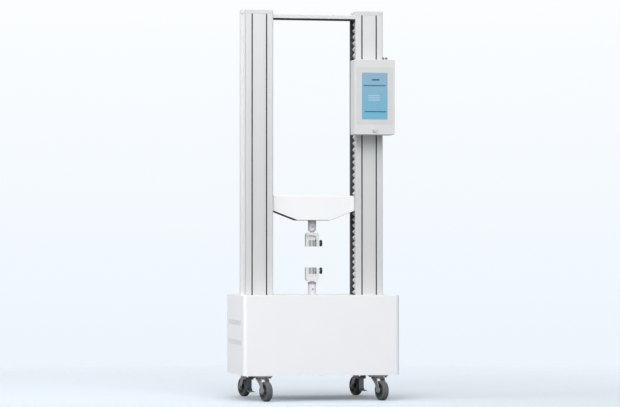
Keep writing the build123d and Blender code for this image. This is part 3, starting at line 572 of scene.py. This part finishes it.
def add_ring_plate(shape, outer, inner, front, back):
    """A flat plate between two loops with as many points each, from front to back in Y."""
    rows = [
        [shape.verts.new((x, y, z)) for x, z in loop]
        for loop, y in ((outer, front), (inner, front), (inner, back), (outer, back))
    ]
    count = len(outer)
    for row in range(4):
        here, there = rows[row], rows[(row + 1) % 4]
        for at in range(count):
            after = (at + 1) % count
            shape.faces.new((here[at], there[at], there[after], here[after]))
    bmesh.ops.recalc_face_normals(shape, faces=shape.faces)


# Geometry Nodes helpers
def start_tree(name, inputs):
    """A geometry tree with named inputs and one geometry output."""
    tree = bpy.data.node_groups.new(name, "GeometryNodeTree")
    for label, kind in inputs:
        tree.interface.new_socket(label, in_out="INPUT", socket_type=kind)
    tree.interface.new_socket("Geometry", in_out="OUTPUT", socket_type="NodeSocketGeometry")
    return tree, tree.nodes.new("NodeGroupInput").outputs


def end_tree(tree, geometry, material):
    """Realized instances with their material, as the output of a tree."""
    real = add_node(tree, "GeometryNodeRealizeInstances", {"Geometry": geometry})
    coated = add_node(
        tree, "GeometryNodeSetMaterial", {"Geometry": real.outputs[0], "Material": material}
    )
    add_node(tree, "NodeGroupOutput", {"Geometry": coated.outputs[0]})


def run_tree(name, mesh, tree, values):
    """The plain mesh that a tree makes from a mesh."""
    holder = bpy.data.objects.new(name + "_holder", mesh)
    bpy.context.scene.collection.objects.link(holder)
    modifier = holder.modifiers.new("nodes", "NODES")
    modifier.node_group = tree
    for item in tree.interface.items_tree:
        if item.in_out == "INPUT" and item.name in values:
            modifier[item.identifier] = values[item.name]
    graph = bpy.context.evaluated_depsgraph_get()
    made = bpy.data.meshes.new_from_object(holder.evaluated_get(graph), depsgraph=graph)
    made.name = name
    bpy.data.objects.remove(holder)
    if not made.polygons:
        raise RuntimeError(name + ": the node tree made no faces")
    made.materials.clear()
    made.materials.append(values["Material"])
    made.polygons.foreach_set("material_index", [0] * len(made.polygons))
    made.shade_smooth()
    made.set_sharp_from_angle(angle=SHARP_ANGLE)
    return made


def fold_radius(tree, given, height):
    """Radius that runs from the valley to the ridge and back once per fold."""
    rise = add_node(tree, "ShaderNodeMath", {0: height, 1: given["Height"]}, operation="DIVIDE").outputs[0]
    share = add_node(tree, "ShaderNodeMath", {0: rise, 1: 0.5}, operation="ADD").outputs[0]
    phase = add_node(tree, "ShaderNodeMath", {0: share, 1: given["Folds"]}, operation="MULTIPLY").outputs[0]
    half_wave = add_node(tree, "ShaderNodeMath", {0: phase, 1: 0.5}, operation="PINGPONG").outputs[0]
    wave = add_node(tree, "ShaderNodeMath", {0: half_wave, 1: 2.0}, operation="MULTIPLY").outputs[0]
    spread = {"Value": wave, "To Min": given["Valley"], "To Max": given["Ridge"]}
    return add_node(tree, "ShaderNodeMapRange", spread).outputs["Result"]


def folded_tube(tree, given):
    """One tube round the upright axis whose radius waves along it."""
    rings = {0: given["Folds"], 1: RINGS_PER_FOLD}
    tube = add_node(
        tree,
        "GeometryNodeMeshCylinder",
        {
            "Vertices": given["Sides"],
            "Side Segments": add_node(tree, "ShaderNodeMath", rings, operation="MULTIPLY").outputs[0],
            "Radius": 1.0,
            "Depth": given["Height"],
        },
        fill_type="NGON",
    )
    place = add_node(tree, "GeometryNodeInputPosition").outputs[0]
    parts = add_node(tree, "ShaderNodeSeparateXYZ", {"Vector": place}).outputs
    reach = fold_radius(tree, given, parts["Z"])
    raised = {0: parts["Z"], 1: given["Middle"]}
    folded = add_node(
        tree,
        "ShaderNodeCombineXYZ",
        {
            "X": add_node(tree, "ShaderNodeMath", {0: parts["X"], 1: reach}, operation="MULTIPLY").outputs[0],
            "Y": add_node(tree, "ShaderNodeMath", {0: parts["Y"], 1: reach}, operation="MULTIPLY").outputs[0],
            "Z": add_node(tree, "ShaderNodeMath", raised, operation="ADD").outputs[0],
        },
    )
    shaped = {"Geometry": tube.outputs["Mesh"], "Position": folded.outputs[0]}
    return add_node(tree, "GeometryNodeSetPosition", shaped).outputs["Geometry"]


def bellows_tree():
    """Folded tubes, one over each screw."""
    tree, given = start_tree(
        "bellows_folds",
        (
            ("Folds", "NodeSocketInt"),
            ("Height", "NodeSocketFloat"),
            ("Middle", "NodeSocketFloat"),
            ("Ridge", "NodeSocketFloat"),
            ("Valley", "NodeSocketFloat"),
            ("Offset", "NodeSocketFloat"),
            ("Sides", "NodeSocketInt"),
            ("Material", "NodeSocketMaterial"),
        ),
    )
    tube = folded_tube(tree, given)
    mirrored = add_node(tree, "ShaderNodeMath", {0: given["Offset"], 1: -1.0}, operation="MULTIPLY")
    left = add_node(tree, "ShaderNodeCombineXYZ", {"X": mirrored.outputs[0]})
    right = add_node(tree, "ShaderNodeCombineXYZ", {"X": given["Offset"]})
    ends = {"Count": 2, "Start Location": left.outputs[0], "Offset": right.outputs[0]}
    line = add_node(tree, "GeometryNodeMeshLine", ends, mode="END_POINTS")
    spots = {"Points": line.outputs["Mesh"], "Instance": tube}
    pair = add_node(tree, "GeometryNodeInstanceOnPoints", spots)
    end_tree(tree, pair.outputs["Instances"], given["Material"])
    return tree


def screw_head(tree, given):
    """One socket head that stands on the ground and points up."""
    sizes = {"Vertices": given["Sides"], "Radius": given["Radius"], "Depth": given["Height"]}
    head = add_node(tree, "GeometryNodeMeshCylinder", sizes, fill_type="NGON")
    easing = {0: given["Socket Share"], 1: RIM_EASE}
    eased_by = add_node(tree, "ShaderNodeMath", easing, operation="MULTIPLY").outputs[0]
    shrink = add_node(tree, "ShaderNodeMath", {0: 1.0, 1: eased_by}, operation="SUBTRACT").outputs[0]
    eased = add_node(
        tree,
        "GeometryNodeScaleElements",
        {"Geometry": head.outputs["Mesh"], "Selection": head.outputs["Top"], "Scale": shrink},
    )
    rim = add_node(
        tree,
        "GeometryNodeExtrudeMesh",
        {"Mesh": eased.outputs[0], "Selection": head.outputs["Top"], "Offset Scale": 0.0},
        mode="FACES",
    )
    narrowed = add_node(
        tree,
        "GeometryNodeScaleElements",
        {"Geometry": rim.outputs["Mesh"], "Selection": rim.outputs["Top"], "Scale": given["Socket Share"]},
    )
    depth = add_node(tree, "ShaderNodeMath", {0: given["Height"], 1: -SOCKET_DEPTH}, operation="MULTIPLY")
    socket = add_node(
        tree,
        "GeometryNodeExtrudeMesh",
        {"Mesh": narrowed.outputs[0], "Selection": rim.outputs["Top"], "Offset Scale": depth.outputs[0]},
        mode="FACES",
    )
    half = add_node(tree, "ShaderNodeMath", {0: given["Height"], 1: 0.5}, operation="MULTIPLY")
    lift = add_node(tree, "ShaderNodeCombineXYZ", {"Z": half.outputs[0]})
    seat = {"Geometry": socket.outputs["Mesh"], "Translation": lift.outputs[0]}
    return add_node(tree, "GeometryNodeTransform", seat).outputs[0]


def screw_tree():
    """Socket-head screws on points, each turned to the stored facing of its point."""
    tree, given = start_tree(
        "socket_screws",
        (
            ("Geometry", "NodeSocketGeometry"),
            ("Radius", "NodeSocketFloat"),
            ("Height", "NodeSocketFloat"),
            ("Socket Share", "NodeSocketFloat"),
            ("Sides", "NodeSocketInt"),
            ("Material", "NodeSocketMaterial"),
        ),
    )
    head = screw_head(tree, given)
    facing = add_node(
        tree, "GeometryNodeInputNamedAttribute", {"Name": "facing"}, data_type="FLOAT_VECTOR"
    ).outputs[0]
    turn = add_node(tree, "FunctionNodeAlignRotationToVector", {"Vector": facing}, axis="Z")
    spots = {"Points": given["Geometry"], "Instance": head, "Rotation": turn.outputs[0]}
    placed = add_node(tree, "GeometryNodeInstanceOnPoints", spots)
    end_tree(tree, placed.outputs["Instances"], given["Material"])
    return tree


def screw_group(name, tree, spots, facing, values):
    """The mesh of one group of screws at some spots."""
    points = bpy.data.meshes.new(name + "_points")
    points.from_pydata(spots, [], [])
    store = points.attributes.new("facing", "FLOAT_VECTOR", "POINT")
    for item in store.data:
        item.vector = facing
    return run_tree(name, points, tree, values)


# Operators
class DressBase(bpy.types.Operator):
    """Base cabinet with its sheet cover, rear cover, inlet and the frame inside"""

    bl_idname = "testing_machine.dress_base"
    bl_label = "Dress base"

    def execute(self, context):
        edge = settings(context).edge
        dressed_copies(context, ("base_housing", "rear_cover"), edge.sheet)
        dressed_copy(context, "mains_inlet", edge.machined)
        coat_nodes(context, ("base_frame", "base_table"))
        return {"FINISHED"}


class DressColumns(bpy.types.Operator):
    """Columns, their caps and liners, the cable duct and the top beam; the liners' dark grey is partly
    painted shade in the channels
    """

    bl_idname = "testing_machine.dress_columns"
    bl_label = "Dress columns"

    groove_place = 0.035
    groove_depth = 0.007
    seal_half = 0.0029
    seal_depth = 0.0015
    seal_lift = 0.002

    def execute(self, context):
        edge = settings(context).edge
        dressed_copies(context, ("left_column", "right_column"), edge.machined)
        dressed_copies(context, ("column_caps", "cable_duct"), edge.casting)
        # The underside of the top beam is painted dark as shade.
        shaded_underside_copy(context, "top_beam", edge.sheet)
        # The dark liners partly paint the shade inside the column channels.
        coat_nodes(context, ("channel_liners",))
        self.add_slot_seals(context)
        return {"FINISHED"}

    def add_slot_seals(self, context):
        """Dark rubber seals in the two grooves of each column."""
        low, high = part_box("right_column")
        middle = (low.x + high.x) / 2
        shape = bmesh.new()
        for side in (-1, 1):
            for place in (-self.groove_place, self.groove_place):
                x = side * (middle + place)
                corner = (x - self.seal_half, low.y + self.seal_depth, low.z + self.seal_lift)
                add_block(shape, corner, (x + self.seal_half, low.y + self.groove_depth, high.z))
        mesh = finish_mesh("slot_seals", shape, finishes(context)["belt_rubber"])
        add_piece("slot_seals", mesh, "frame", "black_plastic")


class DressDrive(bpy.types.Operator):
    """Ball screws, guide rods, bearings, motor, belt and controller inside the machine"""

    bl_idname = "testing_machine.dress_drive"
    bl_label = "Dress drive"

    def execute(self, context):
        coat_nodes(
            context,
            (
                "right_ball_screw",
                "left_ball_screw",
                "screw_bearings",
                "guide_rods",
                "servo_motor",
                "motor_pulley",
                "drive_belt",
                "motor_controller",
            ),
        )
        return {"FINISHED"}


class DressBellows(bpy.types.Operator):
    """Folded covers over the screws, between the crosshead and the frame, fixed at their rest length"""

    bl_idname = "testing_machine.dress_bellows"
    bl_label = "Dress bellows"

    def execute(self, context):
        tree = bellows_tree()
        self.add_cover(context, tree, "upper_bellows", "crosshead", "frame")
        self.add_cover(context, tree, "lower_bellows", "frame", "crosshead")
        return {"FINISHED"}

    def add_cover(self, context, tree, node, below, above):
        """One pair of covers over the span of its CAD node; the bodies below and above are not used."""
        chosen = settings(context).bellows
        low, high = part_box(node)
        screw_low, screw_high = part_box("right_ball_screw")
        height = high.z - low.z
        values = {
            "Folds": round(height / chosen.pitch),
            "Height": height,
            "Middle": (low.z + high.z) / 2,
            "Ridge": chosen.ridge,
            "Valley": chosen.valley,
            "Offset": (screw_low.x + screw_high.x) / 2,
            "Sides": chosen.sides,
            "Material": finishes(context)["bellows_fabric"],
        }
        mesh = run_tree(node + "_folds", bpy.data.meshes.new(node + "_start"), tree, values)
        piece = bpy.data.objects.new(node + "_folds", mesh)
        context.scene.collection.objects.link(piece)
        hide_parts(node)
        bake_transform(piece)


class DressCrosshead(bpy.types.Operator):
    """Crosshead covers, the beam and carriages behind them, and the load cell"""

    bl_idname = "testing_machine.dress_crosshead"
    bl_label = "Dress crosshead"

    end_height = 0.0735
    wiper_setback = 0.0025
    wiper_depth = 0.004
    wiper_gap = 0.0008

    def execute(self, context):
        edge = settings(context).edge
        # The undersides of the covers are painted dark as shade.
        shaded_underside_copy(context, "crosshead_front_cover", edge.sheet)
        shaded_underside_copy(context, "crosshead_rear_cover", edge.sheet)
        dressed_copies(context, ("crosshead_beam", "crosshead_carriages"), edge.machined)
        coat_nodes(context, ("carriage_bushings", "load_cell"))
        self.add_wipers(context)
        return {"FINISHED"}

    def add_wipers(self, context):
        """Felt wipers that close the gaps between the ends of the covers and the columns."""
        cover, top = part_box("crosshead_front_cover")
        front = cover.y + self.wiper_setback
        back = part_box("crosshead_rear_cover")[1].y - self.wiper_setback
        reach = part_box("right_column")[0].x - self.wiper_gap
        ceiling = top.z - self.wiper_setback
        bottom = top.z - self.end_height + self.wiper_setback
        shape = bmesh.new()
        for side in (-1, 1):
            near, far = sorted((side * top.x, side * reach))
            for y in (front, back - self.wiper_depth):
                add_block(shape, (near, y, bottom), (far, y + self.wiper_depth, ceiling))
            for z in (bottom, ceiling - self.wiper_depth):
                inner = (near, front + self.wiper_depth, z)
                add_block(shape, inner, (far, back - self.wiper_depth, z + self.wiper_depth))
        mesh = finish_mesh("crosshead_wipers", shape, finishes(context)["felt"])
        add_piece("crosshead_wipers", mesh, "crosshead", "white_enamel")


class DressGrips(bpy.types.Operator):
    """Stems, grips, jaws and clamp screws of the test space"""

    bl_idname = "testing_machine.dress_grips"
    bl_label = "Dress grips"

    pin_proud = 0.0009

    def execute(self, context):
        edge = settings(context).edge
        plain = ["lower_lock_ring"]
        for level in ("upper", "lower"):
            plain += [f"{level}_grip_body", f"{level}_clamp_screw", f"{level}_clamp_knob"]
            plain += [f"{level}_fixed_jaw", f"{level}_moving_jaw"]
            self.add_stem(context, f"{level}_stem", edge.machined)
        dressed_copies(context, plain, edge.machined)
        return {"FINISHED"}

    def add_stem(self, context, node, radius):
        """A stem whose proud pin ends are darker than the stem."""
        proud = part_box(node)[1].y - self.pin_proud
        shape = merged_copy(node)
        ease_edges(shape, radius)
        for face in shape.faces:
            face.material_index = 1 if abs(face.calc_center_median().y) > proud else 0
        show_copy(node, shape, finish_of(context, node), finishes(context)["caster_steel"])


class DressPanel(bpy.types.Operator):
    """Control panel with its overlay, display, button and connectors"""

    bl_idname = "testing_machine.dress_panel"
    bl_label = "Dress panel"

    overlay_half_width = 0.0886
    overlay_half_height = 0.1356
    overlay_corner = 0.0038
    overlay_inset = 0.0002
    screen_corner = 0.002

    # Left, right, top and bottom of each dark bar, as shares of the screen
    title_bar = (0.39, 0.68, 0.135, 0.165)
    upper_rule = (0.05, 0.92, 0.263, 0.283)
    lower_rule = (0.11, 0.95, 0.822, 0.843)

    # Ends, top, pitch and height of the pale rows, as shares of the screen
    row_ends = (0.25, 0.69)
    row_top = 0.475
    row_pitch = 0.048
    row_height = 0.026
    row_count = 3

    def execute(self, context):
        edge = settings(context).edge
        small = ("panel_fascia", "button_collar", "panel_button", "panel_connectors")
        dressed_copies(context, ("panel_case", "panel_bracket"), edge.sheet)
        dressed_copies(context, small, edge.machined)
        coat_nodes(context, ("panel_screen",))
        self.add_overlay(context)
        self.add_marks(context)
        return {"FINISHED"}

    def add_overlay(self, context):
        """Film round the screen, set into the recess of the fascia."""
        low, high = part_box("panel_screen")
        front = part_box("panel_fascia")[0].y + self.overlay_inset
        middle = ((low.x + high.x) / 2, (low.z + high.z) / 2)
        outer = rounded_loop(middle, self.overlay_half_width, self.overlay_half_height, self.overlay_corner)
        inner = rounded_loop(middle, (high.x - low.x) / 2, (high.z - low.z) / 2, self.screen_corner)
        shape = bmesh.new()
        add_ring_plate(shape, outer, inner, front, low.y)
        mesh = finish_mesh("panel_overlay", shape, finishes(context)["overlay"])
        add_piece("panel_overlay", mesh, "frame", "panel_grey")

    def add_marks(self, context):
        """Plain bars and rows on the display."""
        lift = settings(context).display.lift
        tops = [self.row_top + row * self.row_pitch for row in range(self.row_count)]
        shape = bmesh.new()
        self.add_bar(shape, self.title_bar, lift, 0)
        self.add_bar(shape, self.upper_rule, lift, 0)
        for top in tops:
            self.add_bar(shape, (*self.row_ends, top, top + self.row_height), lift, 1)
        self.add_bar(shape, self.lower_rule, lift, 0)
        known = finishes(context)
        mesh = finish_mesh("display_marks", shape, known["ink"], known["pale"])
        add_piece("display_marks", mesh, "frame", "display")

    def add_bar(self, shape, shares, lift, index):
        """One thin bar on the screen, from its four shares."""
        low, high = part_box("panel_screen")
        left, right, top, bottom = shares
        width = high.x - low.x
        height = high.z - low.z
        corner = (low.x + left * width, low.y - lift, high.z - bottom * height)
        add_block(shape, corner, (low.x + right * width, low.y, high.z - top * height), index)


class DressCasters(bpy.types.Operator):
    """Swivel casters with their plates, forks, wheels and brake pedals"""

    bl_idname = "testing_machine.dress_casters"
    bl_label = "Dress casters"

    tyre_depth = 0.012

    def execute(self, context):
        edge = settings(context).edge
        dressed_copy(context, "caster_plates", edge.machined)
        dressed_copies(context, [f"{corner}_fork" for corner in CORNERS], edge.machined)
        dressed_copies(context, ("rear_left_brake_pedal", "rear_right_brake_pedal"), edge.machined)
        for corner in CORNERS:
            self.add_wheel(context, f"{corner}_wheel")
        return {"FINISHED"}

    def add_wheel(self, context, node):
        """A wheel whose hub and tyre have their own finish."""
        low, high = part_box(node)
        middle = (low + high) / 2
        axle = Vector(JOINTS[node.replace("_wheel", "_roll")]["axis"])
        rim = (high.z - low.z) / 2 - self.tyre_depth
        shape = merged_copy(node)
        for face in shape.faces:
            spot = face.calc_center_median() - middle
            face.material_index = 0 if (spot - axle * spot.dot(axle)).length > rim else 1
        show_copy(node, shape, finish_of(context, node), finishes(context)["hub"])


class DressFasteners(bpy.types.Operator):
    """Socket screws on the rear cover, crosshead and panel, and bolts under the caster plates"""

    bl_idname = "testing_machine.dress_fasteners"
    bl_label = "Dress fasteners"

    # Radius and height of each kind of head
    cover_screw = (0.005, 0.0026)
    panel_screw = (0.0035, 0.0018)
    caster_bolt = (0.0065, 0.006)
    socket_share = 0.55
    head_sides = 18

    # Places of the screws on their pieces
    cover_inset = 0.012
    cover_gaps = 4
    panel_inset_y = 0.02
    panel_inset_z = 0.03
    crosshead_reach = 0.15
    crosshead_drop = 0.036
    bolt_inset = 0.011
    bolt_spacing = 0.062

    def execute(self, context):
        tree = screw_tree()
        bright = "ground_steel"
        groups = (
            ("rear_cover_screws", self.rear_spots(), (0, 1, 0), self.cover_screw, bright, "frame"),
            ("panel_screws", self.panel_spots(), (1, 0, 0), self.panel_screw, bright, "frame"),
            ("crosshead_screws", self.crosshead_spots(), (0, 1, 0), self.cover_screw, bright, "crosshead"),
            ("caster_bolts", self.caster_spots(), (0, 0, -1), self.caster_bolt, "dark_steel", "frame"),
        )
        for name, spots, facing, head, slot, body in groups:
            values = {
                "Radius": head[0],
                "Height": head[1],
                "Socket Share": self.socket_share,
                "Sides": self.head_sides,
                "Material": finishes(context)[slot],
            }
            add_piece(name, screw_group(name, tree, spots, facing, values), body, slot)
        return {"FINISHED"}

    def rear_spots(self):
        """Places round the edge of the rear cover."""
        low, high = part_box("rear_cover")
        gap = (high.x - low.x - 2 * self.cover_inset) / self.cover_gaps
        xs = [low.x + self.cover_inset + step * gap for step in range(self.cover_gaps + 1)]
        zs = (low.z + self.cover_inset, high.z - self.cover_inset)
        ends = [(x, high.y, z) for x in xs for z in zs]
        sides = [(x, high.y, (low.z + high.z) / 2) for x in (xs[0], xs[-1])]
        return ends + sides

    def panel_spots(self):
        """Places on the outer side of the panel case."""
        low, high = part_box("panel_case")
        ys = (low.y + self.panel_inset_y, high.y - self.panel_inset_y)
        zs = (low.z + self.panel_inset_z, high.z - self.panel_inset_z)
        return [(high.x, y, z) for y in ys for z in zs]

    def crosshead_spots(self):
        """Places on the back of the crosshead."""
        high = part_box("crosshead_rear_cover")[1]
        return [(side * self.crosshead_reach, high.y, high.z - self.crosshead_drop) for side in (-1, 1)]

    def caster_spots(self):
        """Bolt places under the four caster plates."""
        low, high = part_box("caster_plates")
        insets = (self.bolt_inset, self.bolt_inset + self.bolt_spacing)
        xs = [side * (high.x - inset) for side in (-1, 1) for inset in insets]
        ys = [side * (high.y - inset) for side in (-1, 1) for inset in insets]
        return [(x, y, low.z) for x in xs for y in ys]


class SetStudio(bpy.types.Operator):
    """Pale floor, soft lights, room light and the camera"""

    bl_idname = "testing_machine.set_studio"
    bl_label = "Set studio"

    # Floor: its size, where it fades out, and how light it is in front and behind
    floor_radius = 6.0
    floor_sides = 96
    fade_start = 1.2
    fade_end = 4.5
    front_depth = -0.6
    rear_depth = 2.3
    front_level = 0.67
    rear_level = 0.90

    # Heights on the machine that the lights look at
    light_aim = 0.9
    side_aim = 1.3

    # Room: rises over which its light grows and its wall turns paler, and what it adds to reflections
    sky_rise = 0.35
    ground_level = 0.03
    wall_foot = -0.033
    wall_head = 0.09
    glossy_share = 0.25

    sensor_width = 36.0
    clip_end = 100.0

    def execute(self, context):
        chosen = settings(context).studio
        self.add_floor(context, chosen)
        self.add_light(context, "key_light", chosen.key_place, chosen.key_power, chosen.key_size)
        self.add_light(context, "front_light", chosen.front_place, chosen.front_power, chosen.front_size)
        side = self.add_light(context, "side_light", chosen.side_place, chosen.side_power, chosen.side_size)
        self.turn_to(side, self.side_aim)
        side.data.spread = chosen.side_spread
        side.visible_glossy = False
        self.set_room(context, chosen)
        self.add_camera(context, chosen)
        context.scene.view_settings.view_transform = "Standard"
        return {"FINISHED"}

    def add_floor(self, context, chosen):
        """A round pale floor that fades out into the room."""
        shape = bmesh.new()
        bmesh.ops.create_circle(shape, cap_ends=True, segments=self.floor_sides, radius=self.floor_radius)
        mesh = finish_mesh("studio_floor", shape, self.floor_finish(chosen))
        floor = bpy.data.objects.new("studio_floor", mesh)
        context.scene.collection.objects.link(floor)
        return floor

    def floor_finish(self, chosen):
        """Pale matt floor: lighter to the rear, with a little glow in its shadows and a dim bounce."""
        material, tree, shader, coords = start_finish("studio_floor_pale", linear(chosen.floor), rough=0.7)
        path = add_node(tree, "ShaderNodeLightPath").outputs["Is Camera Ray"]
        depth = add_node(tree, "ShaderNodeSeparateXYZ", {"Vector": coords}).outputs["Y"]
        ends = {"From Min": self.front_depth, "From Max": self.rear_depth}
        levels = {"To Min": self.front_level, "To Max": self.rear_level}
        level = add_node(tree, "ShaderNodeMapRange", {"Value": depth, **ends, **levels}).outputs["Result"]
        shown = add_node(tree, "ShaderNodeMath", {0: path, 1: level}, operation="MULTIPLY").outputs[0]
        hidden = add_node(tree, "ShaderNodeMath", {0: 1.0, 1: path}, operation="SUBTRACT").outputs[0]
        bounced = {0: hidden, 1: chosen.bounce}
        thrown = add_node(tree, "ShaderNodeMath", bounced, operation="MULTIPLY").outputs[0]
        share = add_node(tree, "ShaderNodeMath", {0: shown, 1: thrown}, operation="ADD").outputs[0]
        tint(tree, shader, share, dark=[0.0, 0.0, 0.0, 1.0], light=linear(chosen.floor))
        shader.inputs["Emission Color"].default_value = linear(chosen.floor)
        glow = add_node(tree, "ShaderNodeMath", {0: path, 1: chosen.glow}, operation="MULTIPLY").outputs[0]
        tree.links.new(glow, shader.inputs["Emission Strength"])
        reach = add_node(tree, "ShaderNodeVectorMath", {0: coords}, operation="LENGTH").outputs["Value"]
        edge = {"From Min": self.fade_start, "From Max": self.fade_end, "To Min": 1.0, "To Max": 0.0}
        fade = add_node(
            tree, "ShaderNodeMapRange", {"Value": reach, **edge}, interpolation_type="SMOOTHSTEP"
        )
        tree.links.new(fade.outputs["Result"], shader.inputs["Alpha"])
        return material

    def add_light(self, context, name, place, power, size):
        """A large soft light that looks at the middle of the machine."""
        lamp = bpy.data.lights.new(name, "AREA")
        lamp.energy = power
        lamp.size = size
        holder = bpy.data.objects.new(name, lamp)
        holder.location = place
        self.turn_to(holder, self.light_aim)
        context.scene.collection.objects.link(holder)
        return holder

    def turn_to(self, holder, height):
        """Turns a light to a height on the middle of the machine."""
        sight = Vector((0.0, 0.0, height)) - holder.location
        holder.rotation_euler = sight.to_track_quat("-Z", "Y").to_euler()

    def set_room(self, context, chosen):
        """Even room light, with a pale colour where the camera looks past the machine."""
        world = bpy.data.worlds.new("pale_room")
        context.scene.world = world
        world.use_nodes = True
        tree = world.node_tree
        tree.nodes.clear()
        path = add_node(tree, "ShaderNodeLightPath").outputs
        sky = add_node(tree, "ShaderNodeTexCoord").outputs["Generated"]
        rise = add_node(tree, "ShaderNodeSeparateXYZ", {"Vector": sky}).outputs["Z"]
        ends = {"From Min": -self.sky_rise, "From Max": self.sky_rise}
        levels = {"To Min": self.ground_level, "To Max": chosen.fill}
        level = add_node(tree, "ShaderNodeMapRange", {"Value": rise, **ends, **levels}).outputs["Result"]
        even = {"Color": linear(chosen.fill_colour), "Strength": level}
        lit = add_node(tree, "ShaderNodeBackground", even).outputs[0]
        ramp = {"Value": rise, "From Min": self.wall_foot, "From Max": self.wall_head}
        height = add_node(tree, "ShaderNodeMapRange", ramp).outputs["Result"]
        wall = {0: height, 6: linear(chosen.horizon), 7: linear(chosen.room)}
        colour = add_node(tree, "ShaderNodeMix", wall, data_type="RGBA").outputs[2]
        seen = add_node(tree, "ShaderNodeBackground", {"Color": colour, "Strength": 1.0}).outputs[0]
        mirrored = {0: path["Is Glossy Ray"], 1: self.glossy_share}
        glossy = add_node(tree, "ShaderNodeMath", mirrored, operation="MULTIPLY").outputs[0]
        straight = {0: path["Is Camera Ray"], 1: path["Is Transmission Ray"]}
        direct = add_node(tree, "ShaderNodeMath", straight, operation="MAXIMUM").outputs[0]
        share = add_node(tree, "ShaderNodeMath", {0: direct, 1: glossy}, operation="MAXIMUM").outputs[0]
        mix = add_node(tree, "ShaderNodeMixShader", {0: share, 1: lit, 2: seen}).outputs[0]
        add_node(tree, "ShaderNodeOutputWorld", {"Surface": mix})

    def add_camera(self, context, chosen):
        """The camera in front and to the left, tilted slightly up."""
        lens = bpy.data.cameras.new("front_camera")
        lens.sensor_width = self.sensor_width
        lens.lens = chosen.lens
        lens.clip_end = self.clip_end
        camera = bpy.data.objects.new("front_camera", lens)
        camera.location = chosen.camera_place
        camera.rotation_euler = (pi / 2 + chosen.camera_tilt, 0.0, chosen.camera_turn)
        context.scene.collection.objects.link(camera)
        context.scene.camera = camera


class MachinePanel(bpy.types.Panel):
    """Sidebar panel with one button per piece group"""

    bl_idname = "VIEW3D_PT_testing_machine"
    bl_label = "Testing Machine"
    bl_space_type = "VIEW_3D"
    bl_region_type = "UI"
    bl_category = "Testing Machine"

    def draw(self, context):
        for operator in OPERATORS:
            self.layout.operator(operator.bl_idname)
        chosen = settings(context)
        for group in (chosen.finish, chosen.edge, chosen.bellows, chosen.display, chosen.studio):
            box = self.layout.box()
            for name in group.__annotations__:
                box.prop(group, name)


OPERATORS = (
    DressBase,
    DressColumns,
    DressDrive,
    DressBellows,
    DressCrosshead,
    DressGrips,
    DressPanel,
    DressCasters,
    DressFasteners,
    SetStudio,
)
GROUPS = (FinishSettings, EdgeSettings, BellowsSettings, DisplaySettings, StudioSettings, MachineSettings)


def register():
    """Adds the settings, operators and panel."""
    for kind in (*GROUPS, *OPERATORS, MachinePanel):
        bpy.utils.register_class(kind)
    bpy.types.Scene.testing_machine = PointerProperty(
        type=MachineSettings, name="Testing machine", description="Settings of the testing machine"
    )


def unregister():
    """Takes the settings, operators and panel away."""
    del bpy.types.Scene.testing_machine
    for kind in reversed((*GROUPS, *OPERATORS, MachinePanel)):
        bpy.utils.unregister_class(kind)


def main():
    """Dresses the whole machine."""
    register()
    steps = bpy.ops.testing_machine
    steps.dress_base()
    steps.dress_columns()
    steps.dress_drive()
    steps.dress_bellows()
    steps.dress_crosshead()
    steps.dress_grips()
    steps.dress_panel()
    steps.dress_casters()
    steps.dress_fasteners()
    steps.set_studio()


if __name__ == "__main__":
    main()
